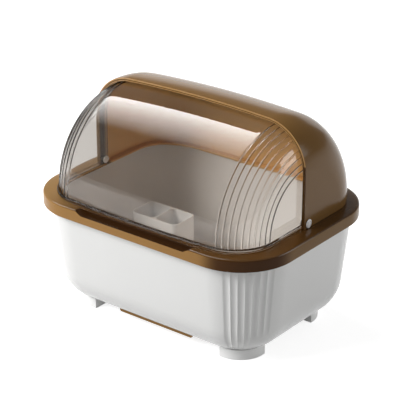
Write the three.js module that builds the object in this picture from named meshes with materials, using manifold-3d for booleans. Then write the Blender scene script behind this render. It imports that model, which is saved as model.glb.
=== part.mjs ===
// Counter-top dish storage cabinet: a white tub on corner feet, a brown rim that carries a brown
// rear hood, a clear front cover that rolls back under the hood, and a drip tray under the tub.
// Millimetres. X runs along the length, -Y is the front, +Z is up, and the origin is on the
// table under the middle of the rim.
import * as THREE from 'three';
import { mergeVertices } from 'three/addons/utils/BufferGeometryUtils.js';
import Module from 'manifold-3d';

const wasm = await Module();
wasm.setup();

// Rim: outer plan, heights, and the sizes of its section
const RIM_LENGTH = 450;
const RIM_DEPTH = 332;
const RIM_CORNER = 90;
const RIM_BOTTOM = 175.5;
const RIM_HEIGHT = 19;
const RIM_WALL = 2.5;
const RIM_EDGE_ROUND = 3;
const OPENING_INSET = 6; // from the cover's outer face to the edge of the rim's opening

// Finger scoop in the front of the rim
const SCOOP_WIDTH = 196;
const SCOOP_FLARE = 12; // how much further each end reaches at the top
const SCOOP_DEPTH = 6.5;
const SCOOP_REACH = 12;

// Tub: where its wall stands inside the rim, and its own form
const SIDE_STANDOFF = 7.8;
const FRONT_STANDOFF = 10.7;
const TUB_CORNER = 89.5;
const TUB_WALL = 2.5;
const TUB_DRAFT = THREE.MathUtils.degToRad(6);
const TUB_BOTTOM = 11;
const TUB_FILLET = 56;
const TUB_FLANGE = 3.4;
const TUB_FLANGE_HEIGHT = 2.4;
const FLOOR_THICKNESS = 2.5;

// Flutes round the front right corner
const FLUTES = 7;
const FLUTE_SPAN = THREE.MathUtils.degToRad(51);
const FLUTE_DEPTH = 1.5;
const FLUTE_FADE = 12; // height over which a flute runs out
// how far down the bottom fillet each flute reaches, from the front round to the side
const FLUTE_REACH_SHARES = [0.95, 0.95, 0.9, 0.72, 0.25, 0.2, 0.18];

// Feet, centred like the tub's corners
const FOOT_RADIUS = 44;
const FOOT_EXTENSION = 5;
const FOOT_CHAMFER = 1.2;
const FOOT_PEG_RADIUS = 4;
const FOOT_PEG_LENGTH = 6;

// Arch that both the hood and the cover are turned from
const SIDE_LEDGE = 23; // rim ledge outside the hood's cheek
const REAR_LEDGE = 8.2;
const PIVOT_HEIGHT = 7.4; // pivot axis above the rim
const CROWN_RADIUS = 2260;
const ARCH_CORNER = 73;

// Hood
const HOOD_WALL = 2.5;
const HOOD_FRONT = 9.5; // the hood's front edge stands this far in front of the pivot
const HOOD_FLANGE = 6; // its front flange reaches this far inwards
const HOOD_FLANGE_THICKNESS = 2.6;
const HOOD_GROOVE = 1;
const HOOD_TAB_LENGTH = 16;
const HOOD_TAB_THICKNESS = 1.6;
const HOOD_TAB_DEPTH = 2.2;

// Cover
const COVER_WALL = 2.2;
const COVER_RIBS = 10;
const COVER_RIB_HEIGHT = 1;
const COVER_RIB_WIDTH = 3;
const COVER_RIB_PITCH = 9.5;
const COVER_RIB_START = 9.5; // from the top end of the corner arc to the first rib
const BEAD_HEIGHT = 5.6;
const BEAD_PROUD = 4; // proud of the skin between the ribs
const BEAD_RISE = 0.2; // above the ribs beside the pivots
const BEAD_FREE = 66; // the bead stays flush within this distance of the pivot

// Pivot pins
const PIN_RADIUS = 3;
const PIN_HEAD_HEIGHT = 2.2;
const PIN_BORE = 1.6;
// the head's outline from its middle out, as shares of its radius and height
const PIN_HEAD_SHARES = [[0, 1], [0.45, 0.95], [0.85, 0.6], [1, 0]];
const CAP_RADIUS = 6;
const CAP_HEIGHT = 2.4;
const BOSS_RADIUS = 6;

// Drip tray and its runners
const TRAY_WIDTH = 143;
const TRAY_HEIGHT = 6.4;
const TRAY_WALL = 1.6;
const TRAY_FRONT = 111; // the lip's front face stands this far in front of the middle
const TRAY_REAR_GAP = 10; // between the tray's rear end and the bay's rear wall
const TRAY_FLANGE = 2.4;
const TRAY_LIP = 2.4;
const BAY_HEIGHT = 9.6; // from the tub's underside to the roof of the bay
const BAY_HALF_LENGTH = 96;
const BAY_HALF_DEPTH = 76;
const BAY_RIB = 3;
const RUNNER_WALL = 3;
const RUNNER_SHELF = 1.8;
const RUNNER_STUD_HEAD = 1;

// Slots that drain the floor into the tray
const DRAIN_COLUMNS = 5;
const DRAIN_ROWS = 4;
const DRAIN_LENGTH = 14;
const DRAIN_WIDTH = 3;
const DRAIN_PITCH_X = 24;
const DRAIN_PITCH_Y = 27;

// Drain board inside the tub
const BOARD_HEIGHT = 15; // its top above the floor
const BOARD_THICKNESS = 2;
const BOARD_LEG_RADIUS = 4;
const BOARD_SLOT_LENGTH = 30;
const BOARD_SLOT_WIDTH = 5;
const BOARD_COLUMNS = 8;
const BOARD_ROWS = 5;
const BOARD_X_SHARE = 0.774; // part of the tub's length that the slots' columns take up
const BOARD_Y_SHARE = 0.612;

// Plate rack on the right of the board, placed and sized by shares of the tub's half sizes
const RACK_MIDDLE_X_SHARE = 0.442;
const RACK_MIDDLE_Y_SHARE = -0.1416;
const RACK_LENGTH_SHARE = 0.7942;
const RACK_SPACING_SHARE = 0.618;
const RACK_SLOTS = 13;
const RACK_RAIL_WIDTH = 10;
const RACK_RAIL_HEIGHT = 6;
const RACK_BAR_HEIGHT = 4;
const FINGER_HEIGHT = 40;
const FINGER_WIDTH = 8;
const FINGER_THICKNESS = 4;
const FINGER_TIP_SHARE = 0.5;

// Cutlery cup at the rear left, placed by shares of the tub's half sizes
const CUP_MIDDLE_X_SHARE = -0.488;
const CUP_MIDDLE_Y_SHARE = 0.2576;
const CUP_LENGTH = 92;
const CUP_DEPTH = 54;
const CUP_HEIGHT = 78;
const CUP_CORNER = 10;
const CUP_WALL = 1.8;
const CUP_WELLS = 2;
const CUP_HOLE_WIDTH = 4;
const CUP_HOLE_LENGTH = 14;
const CUP_HOLE_COLUMNS = 4;
const CUP_HOLE_ROWS = 3;

// Clearances and the overrun of a cut
const SEAT_GAP = 0.3;
const RUN_GAP = 0.4;
const ROLL_GAP = 0.7; // between the hood's flange and the cover's ribs
const BOARD_GAP = 1;
const CUT = 5;
const LEAST_CORNER = 0.001;
const ROUND_OFF = 1e-6; // slack for a share that should be whole

// Steps of the round forms
const PLAIN_CORNER_STEPS = 8;
const FLUTE_STEPS = 4;
const FOOT_STEPS = 7;
const FILLET_STEPS = 6;
const TURN_STEPS = 48;
const ROUND_STEPS = 16;
const STUD_STEPS = 12;
const RIM_EDGE_STEPS = 3;

// Places worked out from the sizes above
const RIM_TOP = RIM_BOTTOM + RIM_HEIGHT;
const PIVOT_Z = RIM_TOP + PIVOT_HEIGHT;
const HOOD_HALF = RIM_LENGTH / 2 - SIDE_LEDGE;
const HOOD_RADIUS = RIM_DEPTH / 2 - REAR_LEDGE;
const COVER_OFFSET = HOOD_FLANGE + ROLL_GAP; // hood's outer face to the cover's ribs
const SCOOP_FLOOR = RIM_TOP - SCOOP_DEPTH;
const TUB_TOP = SCOOP_FLOOR - RIM_WALL - SEAT_GAP;
const FILLET_CENTRE = TUB_BOTTOM + TUB_FILLET;
const BAY_TOP = TUB_BOTTOM + BAY_HEIGHT;
const FLOOR_TOP = BAY_TOP + FLOOR_THICKNESS;
const BOARD_TOP = FLOOR_TOP + BOARD_HEIGHT;
const TUB_HALF_LENGTH = RIM_LENGTH / 2 - SIDE_STANDOFF;
const TUB_HALF_DEPTH = RIM_DEPTH / 2 - FRONT_STANDOFF;
const CORNER_X = TUB_HALF_LENGTH - TUB_CORNER;
const CORNER_Y = TUB_HALF_DEPTH - TUB_CORNER;
const TRAY_REAR = BAY_HALF_DEPTH - TRAY_REAR_GAP;
const BOARD_PITCH_X = 2 * TUB_HALF_LENGTH * BOARD_X_SHARE / BOARD_COLUMNS;
const BOARD_PITCH_Y = 2 * TUB_HALF_DEPTH * BOARD_Y_SHARE / BOARD_ROWS;
const RACK_MIDDLE_X = TUB_HALF_LENGTH * RACK_MIDDLE_X_SHARE;
const RACK_MIDDLE_Y = TUB_HALF_DEPTH * RACK_MIDDLE_Y_SHARE;
const RACK_RAIL_SPACING = TUB_HALF_DEPTH * RACK_SPACING_SHARE;
const RACK_LENGTH = TUB_HALF_LENGTH * RACK_LENGTH_SHARE;
const RACK_PITCH = (RACK_LENGTH - RACK_RAIL_WIDTH) / RACK_SLOTS;
const CUP_MIDDLE_X = TUB_HALF_LENGTH * CUP_MIDDLE_X_SHARE;
const CUP_MIDDLE_Y = TUB_HALF_DEPTH * CUP_MIDDLE_Y_SHARE;
const COVER_EAR = PIVOT_HEIGHT - RUN_GAP; // radius of the ear round the pivot
const PIN_HEAD_RADIUS = PIVOT_HEIGHT - RUN_GAP;
const RIGHT_ANGLE = Math.PI / 2;

function solid(geometry) {
  const bare = geometry.clone();
  bare.deleteAttribute('normal');
  bare.deleteAttribute('uv');
  const merged = mergeVertices(bare);
  const index = merged.index.array;
  const kept = [];
  for (let i = 0; i < index.length; i += 3) {
    const [a, b, c] = [index[i], index[i + 1], index[i + 2]];
    if (a !== b && b !== c && c !== a) kept.push(a, b, c);
  }
  return new wasm.Manifold(new wasm.Mesh({
    numProp: 3,
    vertProperties: Float32Array.from(merged.attributes.position.array),
    triVerts: Uint32Array.from(kept),
  }));
}

function union(parts) {
  return parts.reduce((whole, part) => whole.add(part));
}

function cutAll(body, cutters) {
  return cutters.reduce((rest, cutter) => rest.subtract(cutter), body);
}

// A box between two corners
function box(x0, x1, y0, y1, z0, z1) {
  const geometry = new THREE.BoxGeometry(x1 - x0, y1 - y0, z1 - z0);
  geometry.translate((x0 + x1) / 2, (y0 + y1) / 2, (z0 + z1) / 2);
  return solid(geometry);
}

// An upright cylinder, or one along X
function cylinder(radius, x, y, z0, z1, steps = ROUND_STEPS) {
  const geometry = new THREE.CylinderGeometry(radius, radius, z1 - z0, steps);
  geometry.rotateX(RIGHT_ANGLE);
  geometry.translate(x, y, (z0 + z1) / 2);
  return solid(geometry);
}

function cylinderAlongX(radius, x0, x1, y, z, steps = ROUND_STEPS) {
  const geometry = new THREE.CylinderGeometry(radius, radius, x1 - x0, steps);
  geometry.rotateZ(RIGHT_ANGLE);
  geometry.translate((x0 + x1) / 2, y, z);
  return solid(geometry);
}

// A closed body through rings of points, from the lowest to the highest, each counter-clockwise
// seen from above, with a fan over each end
function loft(rings) {
  const count = rings[0].length;
  const positions = [];
  for (const ring of rings) {
    for (const point of ring) positions.push(point.x, point.y, point.z);
  }
  const index = [];
  for (let r = 0; r + 1 < rings.length; r += 1) {
    for (let i = 0; i < count; i += 1) {
      const next = (i + 1) % count;
      const [a, b] = [r * count + i, r * count + next];
      index.push(a, b, b + count, a, b + count, a + count);
    }
  }
  for (const [ring, flip] of [[0, true], [rings.length - 1, false]]) {
    const middle = new THREE.Vector3();
    rings[ring].forEach((point) => middle.add(point));
    middle.divideScalar(count);
    const hub = positions.length / 3;
    positions.push(middle.x, middle.y, middle.z);
    for (let i = 0; i < count; i += 1) {
      const [a, b] = [ring * count + i, ring * count + (i + 1) % count];
      index.push(...(flip ? [hub, b, a] : [hub, a, b]));
    }
  }
  const geometry = new THREE.BufferGeometry();
  geometry.setAttribute('position', new THREE.Float32BufferAttribute(positions, 3));
  geometry.setIndex(index);
  return solid(geometry);
}

// A ring of points on a rounded rectangle at one height; depthAt pulls a point of the front
// right corner inwards by its angle
function roundedRing(halfX, halfY, corner, z, angles = cornerAngles(), depthAt = () => 0) {
  const radius = Math.max(corner, LEAST_CORNER);
  const ring = [];
  const centres = [[1, -1, -1], [1, 1, 0], [-1, 1, 1], [-1, -1, 2]];
  for (const [sideX, sideY, quarter] of centres) {
    const steps = quarter < 0 ? angles : cornerAngles();
    for (const share of steps) {
      const angle = (quarter + share) * RIGHT_ANGLE;
      const reach = radius - (quarter < 0 ? depthAt(share) : 0);
      ring.push(new THREE.Vector3(
        sideX * (halfX - radius) + reach * Math.cos(angle),
        sideY * (halfY - radius) + reach * Math.sin(angle),
        z,
      ));
    }
  }
  return ring;
}

function cornerAngles() {
  return Array.from({ length: PLAIN_CORNER_STEPS + 1 }, (_, i) => i / PLAIN_CORNER_STEPS);
}

// A straight prism of a rounded rectangle
function roundedPrism(halfX, halfY, corner, z0, z1) {
  return loft([z0, z1].map((z) => roundedRing(halfX, halfY, corner, z)));
}

// The tub's outline draws in with its draft, and then round the fillet at the bottom
function tubInset(z, wall = 0) {
  const fillet = TUB_FILLET - wall;
  const below = Math.min(Math.max(FILLET_CENTRE - z, 0), fillet);
  const round = fillet - Math.sqrt(fillet ** 2 - below ** 2);
  return (RIM_BOTTOM - z) * Math.tan(TUB_DRAFT) + round + wall;
}

function tubRing(z, wall, angles, depthAt) {
  const inset = tubInset(z, wall);
  return roundedRing(TUB_HALF_LENGTH - inset, TUB_HALF_DEPTH - inset, TUB_CORNER - inset, z,
    angles, depthAt);
}

// Shares of the front right corner's quarter turn at which the flutes have their points
function fluteAngles() {
  const span = FLUTE_SPAN / RIGHT_ANGLE;
  const start = (1 - span) / 2;
  const flutes = Array.from({ length: FLUTES * FLUTE_STEPS + 1 },
    (_, i) => start + span * i / (FLUTES * FLUTE_STEPS));
  return [0, start / 2, ...flutes, 1 - start / 2, 1];
}

// Depth of the flutes at one height, by the share of the corner's quarter turn
function fluteDepth(z) {
  const span = FLUTE_SPAN / RIGHT_ANGLE;
  const start = (1 - span) / 2;
  return (share) => {
    const place = (share - start) / span * FLUTES;
    if (place <= 0 || place >= FLUTES) return 0;
    const flute = Math.min(Math.floor(place + ROUND_OFF), FLUTES - 1);
    const across = Math.max(place - flute, 0);
    const end = FILLET_CENTRE - FLUTE_REACH_SHARES[flute] * TUB_FILLET;
    const fade = THREE.MathUtils.clamp((z - end) / FLUTE_FADE, 0, 1);
    return FLUTE_DEPTH * fade * 4 * across * (1 - across);
  };
}

// Heights of the rings round the fillet, from the underside up
function filletHeights() {
  return Array.from({ length: FILLET_STEPS + 1 },
    (_, i) => FILLET_CENTRE - TUB_FILLET * Math.cos(RIGHT_ANGLE * i / FILLET_STEPS));
}

function makeTubOuter() {
  const heights = [...filletHeights(), RIM_BOTTOM, TUB_TOP];
  return loft(heights.map((z) => tubRing(z, 0, fluteAngles(), fluteDepth(z))));
}

function makeTubCavity() {
  const inner = filletHeights().filter((z) => z > FLOOR_TOP);
  const heights = [FLOOR_TOP, ...inner, TUB_TOP + CUT];
  return loft(heights.map((z) => tubRing(z, TUB_WALL)));
}

// The rolled flange round the tub's top edge
function makeTubFlange() {
  const inset = tubInset(TUB_TOP);
  const [halfX, halfY] = [TUB_HALF_LENGTH - inset, TUB_HALF_DEPTH - inset];
  const corner = TUB_CORNER - inset;
  const low = TUB_TOP - TUB_FLANGE_HEIGHT;
  const outer = roundedPrism(halfX + TUB_FLANGE, halfY + TUB_FLANGE, corner + TUB_FLANGE, low, TUB_TOP);
  const hole = roundedPrism(halfX - TUB_WALL / 2, halfY - TUB_WALL / 2, corner - TUB_WALL / 2,
    low - CUT, TUB_TOP + CUT);
  return outer.subtract(hole);
}

function grid(columns, rows, pitchX, pitchY, middleX = 0, middleY = 0) {
  const places = [];
  for (let i = 0; i < columns; i += 1) {
    for (let j = 0; j < rows; j += 1) {
      places.push([
        middleX + (i - (columns - 1) / 2) * pitchX,
        middleY + (j - (rows - 1) / 2) * pitchY,
      ]);
    }
  }
  return places;
}

function slotCutters(places, length, width, z0, z1) {
  return places.map(([x, y]) => box(x - length / 2, x + length / 2, y - width / 2, y + width / 2,
    z0 - CUT, z1 + CUT));
}

const TRAY_TOP = BAY_TOP - SEAT_GAP - RUN_GAP;
const TRAY_BOTTOM = TRAY_TOP - TRAY_HEIGHT;
const TRAY_MIDDLE_Y = (TRAY_REAR - BAY_HALF_DEPTH) / 2;
const SHELF_TOP = TRAY_TOP - TRAY_WALL - RUN_GAP;
const RUNNER_INNER = TRAY_WIDTH / 2; // the runner's web starts here
const SLOT_HALF = TRAY_WIDTH / 2 + RUN_GAP;

// Hollows under the tub's floor: the tray's bay, its mouth through the fillet, and one
// pocket beyond each end of the bay, between the feet
function makeBayCutters() {
  const low = TUB_BOTTOM - CUT;
  const endHalfDepth = CORNER_Y - FOOT_EXTENSION - BAY_RIB;
  const bay = box(-BAY_HALF_LENGTH, BAY_HALF_LENGTH, -BAY_HALF_DEPTH, BAY_HALF_DEPTH, low, BAY_TOP);
  const mouth = box(-SLOT_HALF, SLOT_HALF, -TUB_HALF_DEPTH, -BAY_HALF_DEPTH + BAY_RIB,
    low, TRAY_TOP + RUN_GAP);
  const pockets = [-1, 1].map((side) => {
    const [near, far] = [BAY_HALF_LENGTH + BAY_RIB, CORNER_X + BAY_RIB];
    return box(Math.min(side * near, side * far), Math.max(side * near, side * far),
      -endHalfDepth, endHalfDepth, low, BAY_TOP);
  });
  return [bay, mouth, ...pockets];
}

const RUNNER_STUD_RADIUS = RUNNER_WALL / 2;
const RUNNER_STUD_X = RUNNER_INNER + RUNNER_WALL / 2;
const RUNNER_STUDS_Y = [-BAY_HALF_DEPTH / 2, BAY_HALF_DEPTH / 2];

function makeTub() {
  const shell = makeTubOuter().subtract(makeTubCavity()).add(makeTubFlange());
  const drains = slotCutters(
    grid(DRAIN_COLUMNS, DRAIN_ROWS, DRAIN_PITCH_X, DRAIN_PITCH_Y, 0, TRAY_MIDDLE_Y),
    DRAIN_LENGTH, DRAIN_WIDTH, BAY_TOP, FLOOR_TOP);
  const sockets = footPlaces().map(([sideX, sideY]) => cylinder(FOOT_PEG_RADIUS + SEAT_GAP,
    sideX * CORNER_X, sideY * CORNER_Y, TUB_BOTTOM - CUT,
    TUB_BOTTOM + FOOT_PEG_LENGTH + SEAT_GAP));
  const studHoles = [-1, 1].flatMap((side) => RUNNER_STUDS_Y.map((y) => cylinder(
    RUNNER_STUD_RADIUS + SEAT_GAP, side * RUNNER_STUD_X, y, BAY_TOP - CUT, FLOOR_TOP + CUT, STUD_STEPS)));
  return cutAll(shell, [...makeBayCutters(), ...drains, ...sockets, ...studHoles]);
}

function footPlaces() {
  return [[-1, -1], [1, -1], [-1, 1], [1, 1]];
}

// A foot is a quarter round block under the tub's corner; its top follows the fillet
function makeFoot(sideX, sideY) {
  const outline = (inset, z) => {
    const radius = FOOT_RADIUS - inset;
    const back = FOOT_EXTENSION - inset;
    const arc = Array.from({ length: FOOT_STEPS + 1 }, (_, i) => {
      const angle = RIGHT_ANGLE * i / FOOT_STEPS;
      return [radius * Math.cos(angle), radius * Math.sin(angle)];
    });
    const points = [[radius, -back], ...arc, [-back, radius], [-back, -back]];
    const placed = points.map(([x, y]) => new THREE.Vector3(
      sideX * (CORNER_X + x), sideY * (CORNER_Y + y), z));
    return sideX * sideY > 0 ? placed : placed.reverse();
  };
  const top = FILLET_CENTRE - CUT;
  const block = loft([outline(FOOT_CHAMFER, 0), outline(0, FOOT_CHAMFER), outline(0, top)]);
  const clearOfTub = loft([TUB_BOTTOM, ...filletHeights().slice(1)]
    .map((z) => tubRing(z, -SEAT_GAP).map((p) => p.setZ(p.z - SEAT_GAP))));
  const peg = cylinder(FOOT_PEG_RADIUS, sideX * CORNER_X, sideY * CORNER_Y,
    TUB_BOTTOM - FOOT_CHAMFER, TUB_BOTTOM + FOOT_PEG_LENGTH);
  return block.subtract(clearOfTub).add(peg);
}

// Points of an arc, from one angle to another, about a centre on the arch's profile.
// A profile point is (distance from the pivot axis, place along the axis).
function profileArc(centre, radius, from, to, steps) {
  return Array.from({ length: steps + 1 }, (_, i) => {
    const angle = from + (to - from) * i / steps;
    return new THREE.Vector2(centre.x + radius * Math.sin(angle), centre.y + radius * Math.cos(angle));
  });
}

// The three-centred arch, offset inwards: its corner arc's centre, radius and end angle.
// Angles run from the pivot axis, so the crown is at a right angle.
function archCorner(offset) {
  const halfWidth = HOOD_HALF - offset;
  const corner = ARCH_CORNER - offset;
  const crown = CROWN_RADIUS - offset;
  const crownCentre = HOOD_RADIUS - CROWN_RADIUS;
  const across = halfWidth - corner;
  const centre = new THREE.Vector2(crownCentre + Math.sqrt((crown - corner) ** 2 - across ** 2), across);
  const end = Math.atan2(centre.x - crownCentre, across);
  return { halfWidth, corner, crown, crownCentre, centre, end };
}

// Half of the arch's profile, from the pivot axis out to the crown's middle
function halfArch(offset, cornerSteps, crownSteps) {
  const arch = archCorner(offset);
  const cornerArc = profileArc(arch.centre, arch.corner, 0, arch.end, cornerSteps);
  const crownArc = profileArc(new THREE.Vector2(arch.crownCentre, 0), arch.crown, arch.end,
    RIGHT_ANGLE, crownSteps).slice(1);
  return [new THREE.Vector2(0, arch.halfWidth), ...cornerArc, ...crownArc];
}

// Both halves of a profile whose first half ends in the middle
function mirrored(half) {
  const other = half.slice(0, -1).reverse().map((p) => new THREE.Vector2(p.x, -p.y));
  return [...half, ...other];
}

// A profile turned about the pivot axis
function turned(profile) {
  const geometry = new THREE.LatheGeometry([...profile].reverse(), TURN_STEPS);
  geometry.rotateZ(-RIGHT_ANGLE);
  geometry.translate(0, 0, PIVOT_Z);
  return solid(geometry);
}

const HOOD_CORNER_STEPS = 9;
const CROWN_STEPS = 3;

function archBody(offset, cornerSteps = HOOD_CORNER_STEPS) {
  return turned(mirrored(halfArch(offset, cornerSteps, CROWN_STEPS)));
}

// The space that a cut keeps: behind one plane and in front of another, above the rim
function slab(y0, y1, z0) {
  return box(-RIM_LENGTH, RIM_LENGTH, y0, y1, z0, PIVOT_Z + RIM_DEPTH);
}

// A plate across the arch, along Y: the arch's outline with straight legs down to the rim
function archPlate(offset, y0, y1, z0) {
  const half = halfArch(offset, HOOD_CORNER_STEPS, CROWN_STEPS);
  const points = mirrored(half).map((p) => new THREE.Vector2(p.y, p.x));
  const shape = new THREE.Shape();
  const start = points[0];
  const last = points[points.length - 1];
  shape.moveTo(last.x, z0 - PIVOT_Z);
  shape.lineTo(start.x, z0 - PIVOT_Z);
  points.forEach((p) => shape.lineTo(p.x, p.y));
  shape.closePath();
  const geometry = new THREE.ExtrudeGeometry(shape, { depth: y1 - y0, bevelEnabled: false });
  geometry.rotateX(RIGHT_ANGLE);
  geometry.translate(0, y1, PIVOT_Z);
  return solid(geometry);
}

const HOOD_BOTTOM = RIM_TOP + SEAT_GAP;

// Places of the hood's tabs: under its rear wall, and under each cheek
function hoodTabs(grow, z0, z1) {
  const rearY = Math.sqrt((HOOD_RADIUS - HOOD_WALL / 2) ** 2 - PIVOT_HEIGHT ** 2);
  const sideX = HOOD_HALF - HOOD_WALL / 2;
  const [long, thick] = [HOOD_TAB_LENGTH / 2 + grow, HOOD_TAB_THICKNESS / 2 + grow];
  const crownDrop = CROWN_RADIUS - Math.sqrt(CROWN_RADIUS ** 2 - (sideX / 2) ** 2);
  const rear = [-1, 1].map((side) => [side * sideX / 2, rearY - crownDrop, long, thick]);
  const cheeks = [-1, 1].map((side) => [side * sideX, CORNER_Y, thick, long]);
  return union([...rear, ...cheeks].map(([x, y, halfX, halfY]) => box(
    x - halfX, x + halfX, y - halfY, y + halfY, z0, z1)));
}

function makeHood() {
  const space = slab(-HOOD_FRONT, RIM_DEPTH, HOOD_BOTTOM);
  const shell = archBody(0).subtract(archBody(HOOD_WALL)).intersect(space);
  const flangeBack = -HOOD_FRONT + HOOD_FLANGE_THICKNESS;
  const flange = archBody(HOOD_WALL / 2)
    .intersect(slab(-HOOD_FRONT, flangeBack, HOOD_BOTTOM))
    .subtract(archPlate(HOOD_FLANGE, -HOOD_FRONT - CUT, flangeBack + CUT, RIM_BOTTOM));
  const grooveOuter = archPlate(HOOD_FLANGE / 2 - HOOD_GROOVE / 2, -HOOD_FRONT - CUT,
    -HOOD_FRONT + HOOD_GROOVE, RIM_BOTTOM);
  const grooveInner = archPlate(HOOD_FLANGE / 2 + HOOD_GROOVE / 2, -HOOD_FRONT - CUT - CUT,
    -HOOD_FRONT + HOOD_GROOVE + CUT, RIM_BOTTOM - CUT);
  const bosses = [-1, 1].map((side) => {
    const ends = [side * (HOOD_HALF - HOOD_WALL / 2), side * (HOOD_HALF - COVER_OFFSET + RUN_GAP)];
    return cylinderAlongX(BOSS_RADIUS, Math.min(...ends), Math.max(...ends), 0, PIVOT_Z);
  });
  const tabs = hoodTabs(0, HOOD_BOTTOM - HOOD_TAB_DEPTH, HOOD_BOTTOM + HOOD_WALL);
  const holes = cylinderAlongX(PIN_RADIUS + SEAT_GAP, -RIM_LENGTH, RIM_LENGTH, 0, PIVOT_Z);
  return union([shell, flange, ...bosses, tabs])
    .subtract(grooveOuter.subtract(grooveInner))
    .subtract(holes);
}

const COVER_BOTTOM = PIVOT_Z - COVER_EAR;
const COVER_SKIN = COVER_OFFSET + COVER_RIB_HEIGHT; // offset of the skin between the ribs

// The cover's outer profile: the arch with ring ribs round each corner
function ribbedHalf() {
  const arch = archCorner(COVER_SKIN);
  const half = [new THREE.Vector2(0, arch.halfWidth), new THREE.Vector2(arch.centre.x, arch.halfWidth)];
  const at = (angle, rise) => new THREE.Vector2(
    arch.centre.x + (arch.corner + rise) * Math.sin(angle),
    arch.centre.y + (arch.corner + rise) * Math.cos(angle));
  const footHalf = COVER_RIB_WIDTH / 2 / arch.corner;
  for (let i = COVER_RIBS - 1; i >= 0; i -= 1) {
    const angle = arch.end - (COVER_RIB_START + i * COVER_RIB_PITCH) / arch.corner;
    half.push(at(angle - footHalf, 0), at(angle, COVER_RIB_HEIGHT), at(angle + footHalf, 0));
  }
  const crownArc = profileArc(new THREE.Vector2(arch.crownCentre, 0), arch.crown, arch.end,
    RIGHT_ANGLE, CROWN_STEPS);
  return [...half, ...crownArc];
}

// The space that the cover fills, seen from its end: in front of the ear and above the rim,
// with the ear rounded about the pivot. The bead's space stops at the bead's top.
function coverSpace(front, top) {
  const shape = new THREE.Shape();
  shape.moveTo(front, COVER_BOTTOM - PIVOT_Z);
  shape.lineTo(0, COVER_BOTTOM - PIVOT_Z);
  shape.absarc(0, 0, COVER_EAR, -RIGHT_ANGLE, 0, false);
  if (top > 0) shape.lineTo(COVER_EAR, top);
  shape.lineTo(front, top);
  shape.closePath();
  return extrudedAlongX(shape, -RIM_LENGTH, RIM_LENGTH).translate([0, 0, PIVOT_Z]);
}

// An outline in the YZ plane, extruded along X
function extrudedAlongX(shape, x0, x1) {
  const geometry = new THREE.ExtrudeGeometry(shape, {
    depth: x1 - x0, bevelEnabled: false, curveSegments: ROUND_STEPS / 4,
  });
  geometry.rotateY(RIGHT_ANGLE);
  geometry.rotateX(RIGHT_ANGLE);
  geometry.translate(x0, 0, 0);
  return solid(geometry);
}

// The bead along the cover's lower edge stands proud in front and round the corners, and is
// almost level with the ribs beside the pivots, where it passes under the hood's flange
function makeBead() {
  const top = COVER_BOTTOM + BEAD_HEIGHT;
  const band = box(-RIM_LENGTH, RIM_LENGTH, -RIM_DEPTH, COVER_EAR * 2, RIM_BOTTOM, top);
  const proud = archBody(COVER_SKIN - BEAD_PROUD).intersect(slab(-RIM_DEPTH, -BEAD_FREE, RIM_BOTTOM));
  return archBody(COVER_OFFSET - BEAD_RISE).add(proud).intersect(band);
}

function makeCover() {
  const outer = turned(mirrored(ribbedHalf())).add(makeBead());
  const holes = cylinderAlongX(PIN_RADIUS + SEAT_GAP, -RIM_LENGTH, RIM_LENGTH, 0, PIVOT_Z);
  return outer.subtract(archBody(COVER_SKIN + COVER_WALL))
    .intersect(coverSpace(-RIM_DEPTH, RIM_DEPTH))
    .subtract(holes);
}

// Outline of the arch where the rim's plane cuts the turned body, as a prism
function openingPrism(offset, z0, z1) {
  const half = halfArch(offset, HOOD_CORNER_STEPS, CROWN_STEPS).slice(1);
  const front = mirrored(half).map((p) => new THREE.Vector2(p.y, -p.x));
  const rear = mirrored(half).map((p) => new THREE.Vector2(-p.y, p.x));
  const ring = [...front, ...rear].map((p) => new THREE.Vector3(p.x, p.y, 0));
  const placed = (z) => ring.map((p) => new THREE.Vector3(p.x, p.y, z)).reverse();
  return loft([placed(z0), placed(z1)]);
}

function makeRim() {
  const [halfX, halfY] = [RIM_LENGTH / 2, RIM_DEPTH / 2];
  const rings = Array.from({ length: RIM_EDGE_STEPS + 1 }, (_, i) => {
    const angle = RIGHT_ANGLE * i / RIM_EDGE_STEPS;
    const inset = RIM_EDGE_ROUND * (1 - Math.cos(angle));
    const z = RIM_TOP - RIM_EDGE_ROUND * (1 - Math.sin(angle));
    return roundedRing(halfX - inset, halfY - inset, RIM_CORNER - inset, z);
  });
  const outer = loft([roundedRing(halfX, halfY, RIM_CORNER, RIM_BOTTOM), ...rings]);
  const hollow = roundedPrism(halfX - RIM_WALL, halfY - RIM_WALL, RIM_CORNER - RIM_WALL,
    RIM_BOTTOM - CUT, RIM_TOP - RIM_WALL);
  const inset = tubInset(TUB_TOP);
  const seatOuter = roundedPrism(TUB_HALF_LENGTH - inset, TUB_HALF_DEPTH - inset,
    TUB_CORNER - inset, TUB_TOP + SEAT_GAP, RIM_TOP - RIM_WALL / 2);
  const seatInner = roundedPrism(TUB_HALF_LENGTH - inset - TUB_WALL,
    TUB_HALF_DEPTH - inset - TUB_WALL, TUB_CORNER - inset - TUB_WALL, RIM_BOTTOM, RIM_TOP + CUT);
  const opening = openingPrism(COVER_OFFSET + OPENING_INSET, RIM_BOTTOM - CUT, RIM_TOP + CUT);
  const scoop = makeScoop(0);
  const scoopPan = makeScoop(RIM_WALL).intersect(outer);
  const slots = hoodTabs(SEAT_GAP, RIM_TOP - RIM_WALL - CUT, RIM_TOP + CUT);
  return outer.subtract(hollow)
    .add(seatOuter.subtract(seatInner))
    .add(scoopPan)
    .subtract(opening)
    .subtract(scoop)
    .subtract(slots);
}

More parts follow.
